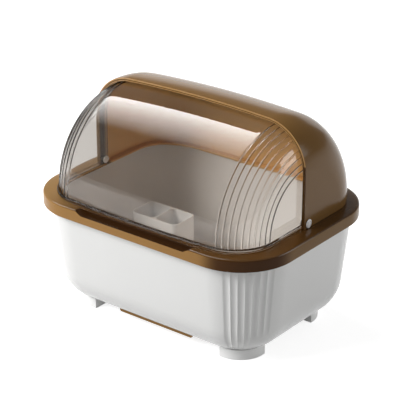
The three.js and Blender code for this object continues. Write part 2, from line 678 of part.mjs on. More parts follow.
// The scoop's space in the front of the rim, or with a wall, the pan that holds it
function makeScoop(wall) {
  const half = SCOOP_WIDTH / 2 + wall;
  const top = RIM_TOP + (wall > 0 ? 0 : CUT);
  const low = SCOOP_FLOOR - wall;
  const flare = SCOOP_FLARE * (top - low) / SCOOP_DEPTH;
  const shape = new THREE.Shape();
  shape.moveTo(-half, low);
  shape.lineTo(half, low);
  shape.lineTo(half + flare, top);
  shape.lineTo(-half - flare, top);
  shape.closePath();
  const front = -RIM_DEPTH / 2 - (wall > 0 ? 0 : CUT);
  const back = -RIM_DEPTH / 2 + SCOOP_REACH + wall;
  const geometry = new THREE.ExtrudeGeometry(shape, { depth: back - front, bevelEnabled: false });
  geometry.rotateX(RIGHT_ANGLE);
  geometry.translate(0, back, 0);
  return solid(geometry);
}

// A pivot pin: a domed head outside the cheek and a hollow shank through cheek and ear
function makePin(side) {
  const headInner = HOOD_HALF + SEAT_GAP;
  const shankEnd = HOOD_HALF - COVER_SKIN - COVER_WALL - SEAT_GAP;
  const head = PIN_HEAD_SHARES.map(([radius, height]) => [
    PIN_HEAD_RADIUS * radius, headInner + PIN_HEAD_HEIGHT * height]);
  const shank = [
    [PIN_RADIUS, headInner], [PIN_RADIUS, shankEnd],
    [PIN_BORE, shankEnd], [PIN_BORE, headInner], [0, headInner],
  ];
  const profile = [...head, ...shank].map(([radius, x]) => new THREE.Vector2(radius, x));
  const geometry = new THREE.LatheGeometry(profile.reverse(), ROUND_STEPS);
  geometry.rotateZ(-RIGHT_ANGLE);
  if (side < 0) geometry.rotateZ(Math.PI);
  geometry.translate(0, 0, PIVOT_Z);
  return solid(geometry);
}

// The cap on the pin's inner end: a disc with a plug in the pin's bore
function makeCap(side) {
  const outer = HOOD_HALF - COVER_SKIN - COVER_WALL - SEAT_GAP - SEAT_GAP;
  const ends = [side * outer, side * (outer - CAP_HEIGHT)];
  const plugEnds = [side * (outer - CAP_HEIGHT / 2), side * (HOOD_HALF - HOOD_WALL)];
  const disc = cylinderAlongX(CAP_RADIUS, Math.min(...ends), Math.max(...ends), 0, PIVOT_Z);
  const plug = cylinderAlongX(PIN_BORE - SEAT_GAP, Math.min(...plugEnds), Math.max(...plugEnds),
    0, PIVOT_Z);
  return disc.add(plug);
}

function makeTray() {
  const half = TRAY_WIDTH / 2 - TRAY_FLANGE - RUN_GAP;
  const lipBack = -TRAY_FRONT + TRAY_LIP;
  const body = box(-half, half, lipBack - TRAY_WALL / 2, TRAY_REAR, TRAY_BOTTOM, TRAY_TOP);
  const flange = box(-half - TRAY_FLANGE, half + TRAY_FLANGE, lipBack - TRAY_WALL / 2, TRAY_REAR,
    TRAY_TOP - TRAY_WALL, TRAY_TOP);
  const hollow = box(-half + TRAY_WALL, half - TRAY_WALL, lipBack, TRAY_REAR - TRAY_WALL,
    TRAY_BOTTOM + TRAY_WALL, TRAY_TOP + CUT);
  return body.add(flange).subtract(hollow).add(makeTrayLip());
}

// The tray's front lip has round ends
function makeTrayLip() {
  const end = TRAY_HEIGHT / 2;
  const straight = TRAY_WIDTH / 2 - end;
  const shape = new THREE.Shape();
  shape.moveTo(-straight, -end);
  shape.lineTo(straight, -end);
  shape.absarc(straight, 0, end, -RIGHT_ANGLE, RIGHT_ANGLE, false);
  shape.lineTo(-straight, end);
  shape.absarc(-straight, 0, end, RIGHT_ANGLE, RIGHT_ANGLE * 3, false);
  const geometry = new THREE.ExtrudeGeometry(shape, {
    depth: TRAY_LIP, bevelEnabled: false, curveSegments: ROUND_STEPS / 2,
  });
  geometry.rotateX(RIGHT_ANGLE);
  geometry.translate(0, -TRAY_FRONT + TRAY_LIP, TRAY_BOTTOM + end);
  return solid(geometry);
}

// An angle rail: a web beside the tray's flange, a shelf under it, and two studs through the floor
function makeRunner(side) {
  const span = (near, far) => [Math.min(side * near, side * far), Math.max(side * near, side * far)];
  const [front, rear] = [-BAY_HALF_DEPTH + RUN_GAP, TRAY_REAR];
  const webNear = RUNNER_INNER;
  const shelfNear = TRAY_WIDTH / 2 - TRAY_FLANGE;
  const top = BAY_TOP - SEAT_GAP;
  const web = box(...span(webNear, webNear + RUNNER_WALL), front, rear, SHELF_TOP - RUNNER_SHELF, top);
  const shelf = box(...span(shelfNear, webNear + RUNNER_WALL), front, rear,
    SHELF_TOP - RUNNER_SHELF, SHELF_TOP);
  const studs = RUNNER_STUDS_Y.map((y) => cylinder(RUNNER_STUD_RADIUS, side * RUNNER_STUD_X, y,
    top - RUNNER_SHELF, FLOOR_TOP + RUNNER_STUD_HEAD, STUD_STEPS));
  return union([web, shelf, ...studs]);
}

function makeBoard() {
  const low = BOARD_TOP - BOARD_THICKNESS;
  const rings = [low, BOARD_TOP].map((z) => tubRing(z, TUB_WALL + BOARD_GAP));
  const plate = loft(rings);
  const legX = CORNER_X - BOARD_LEG_RADIUS;
  const legs = [-1, 0, 1].flatMap((i) => [-1, 1].map((j) => cylinder(BOARD_LEG_RADIUS,
    i * legX, j * CORNER_Y, FLOOR_TOP + SEAT_GAP, low + BOARD_THICKNESS / 2, STUD_STEPS)));
  const places = grid(BOARD_COLUMNS, BOARD_ROWS, BOARD_PITCH_X, BOARD_PITCH_Y)
    .filter(([x, y]) => Math.abs(x) < CORNER_X || Math.abs(y) < BOARD_PITCH_Y * 2);
  const slots = slotCutters(places, BOARD_SLOT_LENGTH, BOARD_SLOT_WIDTH, low, BOARD_TOP);
  return cutAll(union([plate, ...legs]), slots);
}

const RACK_BOTTOM = BOARD_TOP + SEAT_GAP;
const RAIL_TOP = RACK_BOTTOM + RACK_RAIL_HEIGHT;

// The plate rack's base: two rails along X, joined at their ends and in the middle
function makeRackBase() {
  const [halfX, railY] = [RACK_LENGTH / 2, RACK_RAIL_SPACING / 2];
  const halfRail = RACK_RAIL_WIDTH / 2;
  const rails = [-1, 1].map((side) => box(
    RACK_MIDDLE_X - halfX, RACK_MIDDLE_X + halfX,
    RACK_MIDDLE_Y + side * railY - halfRail, RACK_MIDDLE_Y + side * railY + halfRail,
    RACK_BOTTOM, RAIL_TOP));
  const bars = [-1, 0, 1].map((i) => {
    const x = RACK_MIDDLE_X + i * (halfX - halfRail);
    return box(x - halfRail, x + halfRail, RACK_MIDDLE_Y - railY, RACK_MIDDLE_Y + railY,
      RACK_BOTTOM, RACK_BOTTOM + RACK_BAR_HEIGHT);
  });
  return union([...rails, ...bars]);
}

// A comb of tapered fingers that stands on one rail
function makeComb(side) {
  const y = RACK_MIDDLE_Y + side * RACK_RAIL_SPACING / 2;
  const low = RAIL_TOP + SEAT_GAP;
  const strip = box(RACK_MIDDLE_X - RACK_LENGTH / 2, RACK_MIDDLE_X + RACK_LENGTH / 2,
    y - FINGER_WIDTH / 2, y + FINGER_WIDTH / 2, low, low + FINGER_THICKNESS);
  const ring = (x, share, z) => [[-1, -1], [1, -1], [1, 1], [-1, 1]].map(([i, j]) => new THREE.Vector3(
    x + i * FINGER_THICKNESS / 2 * share, y + j * FINGER_WIDTH / 2 * share, z));
  const fingers = Array.from({ length: RACK_SLOTS + 1 }, (_, i) => {
    const x = RACK_MIDDLE_X + (i - RACK_SLOTS / 2) * RACK_PITCH;
    return loft([ring(x, 1, low + FINGER_THICKNESS / 2), ring(x, FINGER_TIP_SHARE, low + FINGER_HEIGHT)]);
  });
  return union([strip, ...fingers]);
}

function makeCup() {
  const low = BOARD_TOP + SEAT_GAP;
  const [halfX, halfY] = [CUP_LENGTH / 2, CUP_DEPTH / 2];
  const body = roundedPrism(halfX, halfY, CUP_CORNER, low, low + CUP_HEIGHT);
  const wellLength = (CUP_LENGTH - CUP_WALL * (CUP_WELLS + 1)) / CUP_WELLS;
  const wells = Array.from({ length: CUP_WELLS }, (_, i) => {
    const x = (i - (CUP_WELLS - 1) / 2) * (wellLength + CUP_WALL);
    return roundedPrism(wellLength / 2, halfY - CUP_WALL, CUP_CORNER - CUP_WALL, low + CUP_WALL,
      low + CUP_HEIGHT + CUT).translate([x, 0, 0]);
  });
  const places = grid(CUP_HOLE_COLUMNS, CUP_HOLE_ROWS, CUP_LENGTH / CUP_HOLE_COLUMNS,
    CUP_DEPTH / CUP_HOLE_ROWS);
  const holes = slotCutters(places, CUP_HOLE_LENGTH, CUP_HOLE_WIDTH, low, low + CUP_WALL);
  return cutAll(body, [...wells, ...holes]).translate([CUP_MIDDLE_X, CUP_MIDDLE_Y, 0]);
}

// Materials as read off the object: colour, roughness
const WHITE_PLASTIC = { color: 0xe9e8e6, roughness: 0.35 };
const INNER_WHITE = { color: 0xdedcd8, roughness: 0.45 };
const BROWN_PLASTIC = { color: 0x6b4420, roughness: 0.18 };
const HOOD_PLASTIC = { color: 0x7a5c3e, roughness: 0.2 };
const CLEAR_PLASTIC = { color: 0xf2f4f4, roughness: 0.05, transparent: true, opacity: 0.3 };

function mesh(name, body, look) {
  const { vertProperties, triVerts } = body.getMesh();
  const geometry = new THREE.BufferGeometry();
  geometry.setAttribute('position', new THREE.Float32BufferAttribute(vertProperties, 3));
  geometry.setIndex(Array.from(triVerts));
  geometry.computeVertexNormals();
  const piece = new THREE.Mesh(geometry, new THREE.MeshStandardMaterial({ metalness: 0, ...look }));
  piece.name = name;
  return piece;
}

const cabinet = new THREE.Group();
cabinet.add(
  mesh('tub', makeTub(), WHITE_PLASTIC),
  mesh('rim_frame', makeRim(), BROWN_PLASTIC),
  mesh('rear_hood', makeHood(), HOOD_PLASTIC),
  mesh('front_cover', makeCover(), CLEAR_PLASTIC),
  mesh('drip_tray', makeTray(), BROWN_PLASTIC),
  mesh('drain_board', makeBoard(), INNER_WHITE),
  mesh('plate_rack_base', makeRackBase(), INNER_WHITE),
  mesh('plate_comb_front', makeComb(-1), INNER_WHITE),
  mesh('plate_comb_rear', makeComb(1), INNER_WHITE),
  mesh('cutlery_cup', makeCup(), INNER_WHITE),
);
for (const [sideX, sideY] of footPlaces()) {
  const name = `foot_${sideY < 0 ? 'front' : 'rear'}_${sideX < 0 ? 'left' : 'right'}`;
  cabinet.add(mesh(name, makeFoot(sideX, sideY), WHITE_PLASTIC));
}
for (const [side, word] of [[-1, 'left'], [1, 'right']]) {
  cabinet.add(
    mesh(`pivot_pin_${word}`, makePin(side), WHITE_PLASTIC),
    mesh(`pin_cap_${word}`, makeCap(side), WHITE_PLASTIC),
    mesh(`tray_runner_${word}`, makeRunner(side), WHITE_PLASTIC),
  );
}

export default cabinet;
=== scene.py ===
# %% [markdown]
# # A dish storage cabinet
# The cabinet is a white tub on four feet, a brown rim with a brown rear hood, and a clear front
# cover that rolls back under the hood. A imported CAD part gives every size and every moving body,
# so this file only dresses it: smooth surfaces, rounded edges and real finishes. All lengths are
# in metres.

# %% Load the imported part
from math import atan2, cos, hypot, pi, radians, sin, sqrt, tan

import bmesh
import bpy
from bmesh.types import BMEdge, BMVert
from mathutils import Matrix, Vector


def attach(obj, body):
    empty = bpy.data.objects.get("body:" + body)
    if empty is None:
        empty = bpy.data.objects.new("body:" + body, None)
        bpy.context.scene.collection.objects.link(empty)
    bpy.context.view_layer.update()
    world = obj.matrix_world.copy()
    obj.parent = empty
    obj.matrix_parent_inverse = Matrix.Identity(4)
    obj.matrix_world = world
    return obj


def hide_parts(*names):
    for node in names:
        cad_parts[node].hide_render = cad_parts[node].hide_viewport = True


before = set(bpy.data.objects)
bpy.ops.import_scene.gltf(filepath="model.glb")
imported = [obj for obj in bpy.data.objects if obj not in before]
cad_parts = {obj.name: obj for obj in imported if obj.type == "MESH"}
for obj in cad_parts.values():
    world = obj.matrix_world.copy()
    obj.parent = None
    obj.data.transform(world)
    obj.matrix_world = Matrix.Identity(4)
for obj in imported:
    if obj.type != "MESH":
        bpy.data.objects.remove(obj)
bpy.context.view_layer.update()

# %% [markdown]
# The camera stands where the photograph was taken from: to the right of the front and a little
# above. A wide lens close by would spread the rim's corners, so this one is long and far away. It
# comes first, because everything later is judged through it.

# %% Camera
AZIMUTH = radians(38.10)
ELEVATION = radians(24.32)
camera_data = bpy.data.cameras.new("camera")
camera_data.lens = 148.24
camera_data.sensor_width = 36
camera_data.clip_end = 50
camera = bpy.data.objects.new("camera", camera_data)
camera.location = (1.4273, -1.8202, 1.2288)
camera.rotation_euler = (pi / 2 - ELEVATION, 0, AZIMUTH)
bpy.context.scene.collection.objects.link(camera)
bpy.context.scene.camera = camera
print("camera", round(camera_data.lens, 1), "mm")

# %% [markdown]
# The light is a plain studio of soft boxes. Point lamps would leave hard dots on polished plastic;
# an area lamp is mirrored as a broad sheet. One hangs overhead at the left, the main one stands at
# the front left, and two weak ones stand behind: one lights the right side, and one is mirrored
# along the top of the hood. Rays that have passed the cover don't see the last three, because
# the cover's inner side would mirror them as hard patches.

# %% Soft boxes
AIM = Vector((0, 0, 0.2))


def soft_box(name, place, size, depth, power, down=False):
    data = bpy.data.lights.new(name, "AREA")
    data.shape = "RECTANGLE"
    data.size = size
    data.size_y = depth
    data.energy = power
    lamp = bpy.data.objects.new(name, data)
    lamp.location = place
    if not down:
        lamp.rotation_euler = (AIM - Vector(place)).to_track_quat("-Z", "Y").to_euler()
    bpy.context.scene.collection.objects.link(lamp)
    return lamp


overhead = soft_box("overhead_box", (-1.35, 0.05, 2.0), 1.9, 1.5, 39, down=True)
main = soft_box("main_box", (-1.5, -2.12, 1.9), 1.8, 1.4, 101)
main.visible_glossy = False
side = soft_box("side_box", (2.3, 1.6, 1.1), 1.2, 1.2, 24)
rear = soft_box("rear_box", (-1.4, 2.75, 0.75), 2.8, 0.9, 9)
for lamp in (main, side, rear):
    lamp.visible_transmission = False
print("lamps:", overhead.name, main.name, side.name, rear.name)

# %% [markdown]
# The overhead box draws the bright sheet across the clear cover. That sheet has one hard edge and
# one that fades, so the box is brightest at its rear edge and falls off towards the front. A map
# from the place across the lamp to its strength does that without a picture.

# %% Fall-off of the overhead box
def set_values(node, values):
    for socket, value in values.items():
        node.inputs[socket].default_value = value


def add_node(tree, kind, values=None):
    node = tree.nodes.new("ShaderNode" + kind)
    set_values(node, values or {})
    return node


overhead.data.use_nodes = True
tree = overhead.data.node_tree
glow = tree.nodes["Emission"]
across = add_node(tree, "NewGeometry")
split = add_node(tree, "SeparateXYZ")
tree.links.new(across.outputs["Parametric"], split.inputs[0])
fall = add_node(tree, "MapRange", {"To Min": 0.0, "To Max": 2.0})
tree.links.new(split.outputs["Y"], fall.inputs["Value"])
tree.links.new(fall.outputs["Result"], glow.inputs["Strength"])
print("strength across the overhead box: 0 to", fall.inputs["To Max"].default_value)

# %% [markdown]
# The world is an even pale light that fills the shadows. A picture of a studio would be mirrored
# too; the soft boxes already do that, and an even light can't tint the whites.

# %% World
world = bpy.data.worlds.new("studio")
bpy.context.scene.world = world
world.use_nodes = True
AMBIENT = 0.175
set_values(world.node_tree.nodes["Background"], {"Color": (1, 1, 1, 1), "Strength": AMBIENT})
bpy.context.scene.view_settings.view_transform = "Standard"
print("world ambient", AMBIENT)

# %% [markdown]
# Moulded plastic is never quite even: its gloss wanders a little, its surface has a faint orange
# peel, and its colour shifts by a hair. One node group holds these three effects, so that each
# plastic below can use it with its own values.

# %% Node group for moulded plastic
def noise(tree, vector, scale, detail=2.0):
    node = add_node(tree, "TexNoise", {"Scale": scale, "Detail": detail})
    tree.links.new(vector, node.inputs["Vector"])
    return node.outputs["Fac"]


def remap(tree, value, low, high):
    node = add_node(tree, "MapRange")
    for socket, source in (("To Min", low), ("To Max", high)):
        if isinstance(source, (int, float)):
            node.inputs[socket].default_value = source
        else:
            tree.links.new(source, node.inputs[socket])
    tree.links.new(value, node.inputs["Value"])
    return node.outputs["Result"]


MIX_A, MIX_B, MIX_RESULT = 6, 7, 2  # the colour sockets of a Mix node
CLOUD_SCALE = 9
PEEL_SCALE = 420
SMUDGE_SCALE = 28
moulded = bpy.data.node_groups.new("moulded_plastic", "ShaderNodeTree")
for way, kind, label in (
        ("INPUT", "Vector", "Vector"), ("INPUT", "Color", "Color"),
        ("INPUT", "Color", "Cloud Color"), ("INPUT", "Float", "Roughness"),
        ("INPUT", "Float", "Smudge"), ("OUTPUT", "Color", "Color"),
        ("OUTPUT", "Float", "Roughness"), ("OUTPUT", "Float", "Height")):
    moulded.interface.new_socket(label, in_out=way, socket_type="NodeSocket" + kind)
taken, given = moulded.nodes.new("NodeGroupInput"), moulded.nodes.new("NodeGroupOutput")
clouds = noise(moulded, taken.outputs["Vector"], CLOUD_SCALE, 3)
blend = add_node(moulded, "Mix")
blend.data_type = "RGBA"
moulded.links.new(clouds, blend.inputs["Factor"])
moulded.links.new(taken.outputs["Color"], blend.inputs[MIX_A])
moulded.links.new(taken.outputs["Cloud Color"], blend.inputs[MIX_B])
moulded.links.new(blend.outputs[MIX_RESULT], given.inputs["Color"])
smudges = noise(moulded, taken.outputs["Vector"], SMUDGE_SCALE, 4)
duller = add_node(moulded, "Math")
duller.operation = "MULTIPLY_ADD"
moulded.links.new(smudges, duller.inputs[0])
moulded.links.new(taken.outputs["Smudge"], duller.inputs[1])
moulded.links.new(taken.outputs["Roughness"], duller.inputs[2])
moulded.links.new(duller.outputs[0], given.inputs["Roughness"])
moulded.links.new(noise(moulded, taken.outputs["Vector"], PEEL_SCALE, 1), given.inputs["Height"])
print("group", moulded.name, "with", len(moulded.nodes), "nodes")

# %% [markdown]
# Each plastic is a Principled shader fed by that group. A material per piece would drift apart;
# one helper keeps them alike, and each takes its own colours, roughness, smudges and gloss.

# %% Helper for a plastic
PEEL_HEIGHT = 0.00002


def plastic(name, color, cloud, roughness, smudge, gloss=0.5):
    material = bpy.data.materials.new(name)
    material.use_nodes = True
    tree = material.node_tree
    shader = tree.nodes["Principled BSDF"]
    place = add_node(tree, "TexCoord")
    group = add_node(tree, "Group")
    group.node_tree = moulded
    tree.links.new(place.outputs["Object"], group.inputs["Vector"])
    set_values(group, {"Color": (*color, 1), "Cloud Color": (*cloud, 1), "Roughness": roughness,
                       "Smudge": smudge})
    bump = add_node(tree, "Bump", {"Distance": PEEL_HEIGHT})
    tree.links.new(group.outputs["Height"], bump.inputs["Height"])
    tree.links.new(bump.outputs["Normal"], shader.inputs["Normal"])
    tree.links.new(group.outputs["Color"], shader.inputs["Base Color"])
    tree.links.new(group.outputs["Roughness"], shader.inputs["Roughness"])
    set_values(shader, {"Specular IOR Level": gloss})
    return material


# %% [markdown]
# Painted light and shade change along some pieces. Two materials with a seam between them would
# show the seam, so a fade blends a plastic's colour into a second, painted one along a direction.

# %% Helper for a fade of painted light and shade
def paint_light_and_shade(material, span, direction, far):
    tree = material.node_tree
    group = next(n for n in tree.nodes if n.bl_idname == "ShaderNodeGroup")
    along = add_node(tree, "VectorMath", {1: direction})
    along.operation = "DOT_PRODUCT"
    tree.links.new(group.inputs["Vector"].links[0].from_socket, along.inputs[0])
    fade = add_node(tree, "MapRange", {"From Min": span[0], "From Max": span[1]})
    fade.interpolation_type = "SMOOTHSTEP"
    tree.links.new(along.outputs["Value"], fade.inputs["Value"])
    mix = add_node(tree, "Mix", {MIX_B: (*far, 1)})
    mix.data_type = "RGBA"
    base = tree.nodes["Principled BSDF"].inputs["Base Color"]
    tree.links.new(fade.outputs["Result"], mix.inputs["Factor"])
    tree.links.new(base.links[0].from_socket, mix.inputs[MIX_A])
    tree.links.new(mix.outputs[MIX_RESULT], base)


# %% [markdown]
# The whites are glossy outside and satin inside; the feet and the satin white are painted paler,
# which is painted light that lifts their shade. The brown is a tinted plastic with painted copies:
# a dark one and a darker one for the scoop are painted shade, a golden one is painted light on thin
# edges, and the hood's inner side is painted lighter, for the daylight that comes through its wall,
# and darker along its front edge. The rim's wall is painted darker to the right and round the front
# right corner, and its ledge is painted golden towards the left end.

# %% Plastics
white_gloss = plastic("white_gloss", (0.69, 0.69, 0.68), (0.72, 0.72, 0.71), 0.22, 0.06)
white_foot = plastic("white_foot", (0.90, 0.90, 0.89), (0.92, 0.92, 0.91), 0.3, 0.06)
white_satin_lit = plastic("white_satin_lit", (0.88, 0.87, 0.86), (0.91, 0.90, 0.89), 0.5, 0.1)
brown_rim = plastic("brown_rim", (0.27, 0.143, 0.043), (0.30, 0.160, 0.050), 0.22, 0.05, 0.1)
brown_painted_shade_and_light = plastic("brown_painted_shade_and_light", (0.080, 0.036, 0.009), (0.090, 0.041, 0.011), 0.14, 0.05)
brown_scoop_shade = plastic("brown_scoop_shade", (0.030, 0.011, 0.002), (0.036, 0.013, 0.003), 0.2, 0.05)
brown_hood = plastic("brown_hood", (0.158, 0.082, 0.024), (0.175, 0.092, 0.029), 0.16, 0.06, 0.14)
brown_edge_lit = plastic("brown_edge_lit", (0.44, 0.24, 0.085), (0.48, 0.27, 0.10), 0.25, 0.05)
brown_inside_lit_and_shaded = plastic("brown_inside_lit_and_shaded", (0.78, 0.47, 0.19), (0.84, 0.51, 0.21), 0.3, 0.08)
# Painted shade: the rim's wall turns darker to the right and round the front right corner.
paint_light_and_shade(brown_rim, (0.10, 0.20), (1, 0, 0), (0.17, 0.092, 0.030))
paint_light_and_shade(brown_rim, (0.290, 0.325), (1, -1, 0), (0.055, 0.020, 0.003))
# Painted shade: the hood's inner side turns darker along its front edge.
paint_light_and_shade(brown_inside_lit_and_shaded, (-0.016, -0.004), (0, -1, 0), (0.12, 0.07, 0.035))
# Painted light: the ledge's dark plastic turns golden towards the left end.
paint_light_and_shade(brown_painted_shade_and_light, (0.08, 0.20), (-1, 0, 0), (0.26, 0.145, 0.048))
print("plastics:", sum(m.name[:5] in ("white", "brown") for m in bpy.data.materials))

# %% [markdown]
# The cover is clear polished plastic with a faint smoky tint. A tinted surface would be equally
# dark all over; absorption inside the wall is darkest where a ray runs along it, as on the real
# ribs. It is glass to the eye, but a shadow ray passes it, so that the lamps reach what stands
# inside.

# %% Clear plastic
CLEAR_IOR = 1.49
clear = bpy.data.materials.new("clear_plastic")
clear.use_nodes = True
tree = clear.node_tree
shader = tree.nodes["Principled BSDF"]
set_values(shader, {"Base Color": (0.96, 0.955, 0.945, 1), "Transmission Weight": 1,
                    "IOR": CLEAR_IOR})
place = add_node(tree, "TexCoord")
haze = noise(tree, place.outputs["Object"], SMUDGE_SCALE, 3)
tree.links.new(remap(tree, haze, 0.0, 0.05), shader.inputs["Roughness"])
path = add_node(tree, "LightPath")
passing = add_node(tree, "BsdfTransparent", {"Color": (0.99, 0.99, 0.98, 1)})
choice = add_node(tree, "MixShader")
tree.links.new(path.outputs["Is Shadow Ray"], choice.inputs[0])
tree.links.new(shader.outputs[0], choice.inputs[1])
tree.links.new(passing.outputs[0], choice.inputs[2])
tree.links.new(choice.outputs[0], tree.nodes["Material Output"].inputs["Surface"])
tint = add_node(tree, "VolumeAbsorption", {"Color": (0.58, 0.54, 0.50, 1), "Density": 210})
tree.links.new(tint.outputs[0], tree.nodes["Material Output"].inputs["Volume"])
print("clear plastic, index", CLEAR_IOR)

# %% [markdown]
# Outlines are drawn as with a pencil and a compass: straight runs and turns about a centre. They
# could be lists of computed points, but a spin of one vertex makes each turn, so every curve is
# exact and every number here is a real radius.

# %% Drawing outlines
MERGE_DISTANCE = 1e-6
SAME_HEIGHT = 5e-6
ROUND_STEPS = 24  # in a quarter turn


def only(kind, geom):
    return [g for g in geom if isinstance(g, kind)]


def edges_at(verts):
    """The edges at these vertices, each of them once."""
    return list(dict.fromkeys(e for v in verts for e in v.link_edges))


def shift(bm, verts, way):
    bmesh.ops.translate(bm, verts=list(verts), vec=way)


def draw(bm, start, moves, axis=(0, 0, 1)):
    tip = bm.verts.new(start)
    for move in moves:
        if len(move) == 2:
            centre, (angle, steps) = move
            turned = bmesh.ops.spin(bm, geom=[tip], cent=centre, axis=axis, angle=angle,
                                    steps=steps)["geom_last"]
            tip = only(BMVert, turned)[0]
        else:
            tip = bmesh.ops.extrude_vert_indiv(bm, verts=[tip])["verts"][0]
            tip.co = move
    return tip


def rounded_outline(bm, half_x, half_y, corner, z, steps=ROUND_STEPS, turns=None):
    """A rounded rectangle. The turns say how each corner is stepped, where they differ."""
    turns = turns or [[(pi / 2, steps)]] * 4
    x, y = half_x - corner, half_y - corner
    centres = ((x, -y), (x, y), (-x, y), (-x, -y))
    ends = ((half_x, y), (-x, half_y), (-half_x, -y), (x, -half_y))
    moves = []
    for (cx, cy), (ex, ey), parts in zip(centres, ends, turns):
        moves += [((cx, cy, z), part) for part in parts]
        moves.append((ex, ey, z))
    return close_outline(bm, (x, -half_y, z), moves)


def close_outline(bm, start, moves, axis=(0, 0, 1)):
    old = set(bm.verts)
    draw(bm, start, moves, axis)
    new = [v for v in bm.verts if v not in old]
    bmesh.ops.remove_doubles(bm, verts=new, dist=MERGE_DISTANCE)
    new = [v for v in bm.verts if v not in old]
    return edges_at(new)


def cap(bm, edges):
    return bmesh.ops.contextual_create(bm, geom=edges)["faces"][0]


def open_edges(bm, z=None):
    """The edges that border one face, all of them or those at one height."""
    return [e for e in bm.edges if e.is_boundary
            and (z is None or all(abs(v.co.z - z) < SAME_HEIGHT for v in e.verts))]


# %% [markdown]
# Most pieces here are drawn in or let out as they rise: a wall with draft, a round edge, a
# hollow. Scaling an outline would squeeze its corners; an inset keeps the distance even all
# round. One helper carries a flat face through such levels, upwards or backwards, and leaves the
# wall behind it.

# %% Carrying a face through levels
def carry(bm, face, levels, start, axis=2):
    before = 0
    for inset, place in levels:
        step = max(inset - before, MERGE_DISTANCE / 10)
        bmesh.ops.inset_region(bm, faces=[face], thickness=step, use_even_offset=True,
                               use_boundary=True)
        way = [0, 0, 0]
        way[axis] = place - start
        shift(bm, face.verts, way)
        before, start = inset, place
    return face


def solid_between(bm, edges, low, high, inset=0.0):
    carry(bm, cap(bm, edges), [(inset, high)], low)
    cap(bm, open_edges(bm))


def quarter(radius, steps, start_z, rise):
    """Levels of a quarter round that draws in by its radius while it rises by it."""
    turn = [pi / 2 * i / steps for i in range(1, steps + 1)]
    return [(radius * (1 - cos(t)), start_z + rise * radius * sin(t)) for t in turn]


# %% [markdown]
# Each finished mesh becomes an object at the origin. It rides on its CAD body, stands for its
# CAD node, and takes its plastic. Moulded edges are never quite sharp, so a small bevel softens
# them, while the flat faces keep their shading.

# %% Making a piece
SHARP = radians(32)
LEVEL = 0.0002  # faces closer than this lie on one level


def new_object(name, bm):
    mesh = bpy.data.meshes.new(name)
    bm.to_mesh(mesh)
    bm.free()
    made = bpy.data.objects.new(name, mesh)
    bpy.context.scene.collection.objects.link(made)
    return made


def settle(name, bm, material, body="", nodes=(), soften=0.0):
    bmesh.ops.remove_doubles(bm, verts=bm.verts, dist=MERGE_DISTANCE)
    bmesh.ops.recalc_face_normals(bm, faces=bm.faces)
    piece = new_object(name, bm)
    piece.data.materials.append(material)
    return dress(piece, body, nodes, soften)


def dress(piece, body, nodes, soften=0.0):
    piece.data.shade_smooth()
    piece.data.set_sharp_from_angle(angle=SHARP)
    if soften:
        bevel = piece.modifiers.new("edges", "BEVEL")
        bevel.width = soften
        bevel.segments = 2
        bevel.limit_method = "ANGLE"
        bevel.angle_limit = SHARP
        bevel.harden_normals = True
    if body:
        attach(piece, body)
        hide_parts(*nodes)
        print(piece.name, len(piece.data.polygons), "faces")
    return piece


def more_plastics(piece, *materials):
    for material in materials:
        piece.data.materials.append(material)


def count_plastics(piece):
    used = [face.material_index for face in piece.data.polygons]
    print(piece.name, "faces by plastic:", [used.count(i) for i in range(max(used) + 1)])


# %% [markdown]
# Mouths, slots and joined blocks are cut and added with a boolean: one tool shape holds all cuts
# of a kind. Most tools are plain boxes, which one helper makes from their low and high corners.

# %% Cutting and joining
def boolean(piece, name, bm, operation="DIFFERENCE"):
    bmesh.ops.recalc_face_normals(bm, faces=bm.faces)
    tool = new_object(name, bm)
    modifier = piece.modifiers.new("boolean", "BOOLEAN")
    modifier.operation = operation
    modifier.solver = "EXACT"
    modifier.object = tool
    graph = bpy.context.evaluated_depsgraph_get()
    result = bpy.data.meshes.new_from_object(piece.evaluated_get(graph))
    piece.modifiers.remove(modifier)
    piece.data = result
    bpy.data.objects.remove(tool)


def block(bm, low, high):
    cube = bmesh.ops.create_cube(bm, size=1)["verts"]
    size = [b - a for a, b in zip(low, high)]
    middle = [(a + b) / 2 for a, b in zip(low, high)]
    bmesh.ops.scale(bm, verts=cube, vec=size)
    shift(bm, cube, middle)
    return cube


def boxes(*corners):
    bm = bmesh.new()
    for low, high in corners:
        block(bm, low, high)
    return bm


def like_boxes(places, half_x, half_y, low, high):
    return [((x - half_x, y - half_y, low), (x + half_x, y + half_y, high)) for x, y in places]


# %% [markdown]
# The tub is one moulded shell. Its walls lean in by six degrees, so that it leaves its mould, and
# roll under in a large fillet. A solidified surface would pinch in that fillet; here the outline
# is carried down from the top edge for the outside, and again, one wall further in, for the
# hollow.

# %% Sizes of the tub
TUB_TOP = 0.1852
TUB_BOTTOM = 0.011
RIM_BOTTOM = 0.1755
TUB_HALF_LENGTH = 0.2172
TUB_HALF_DEPTH = 0.1553
TUB_CORNER = 0.0895
TUB_WALL = 0.0025
TUB_FILLET = 0.056
TUB_DRAFT = radians(6)
TUB_FLANGE = 0.0034
FLANGE_HEIGHT = 0.0024
WALL_HEIGHTS = [0.15, 0.12, 0.092]
FLOOR_TOP = 0.0231
FLOOR_ROUND = 0.004  # the inner fillet meets the floor this far above it
FILLET_CENTRE = TUB_BOTTOM + TUB_FILLET
FILLET_STEPS = 14


def tub_inset(z, wall=0.0):
    fillet = TUB_FILLET - wall
    below = min(max(FILLET_CENTRE - z, 0), fillet)
    return (RIM_BOTTOM - z) * tan(TUB_DRAFT) + fillet - sqrt(fillet ** 2 - below ** 2) + wall


def fillet_heights():
    return [FILLET_CENTRE - TUB_FILLET * sin(pi / 2 * i / FILLET_STEPS)
            for i in range(FILLET_STEPS + 1)]


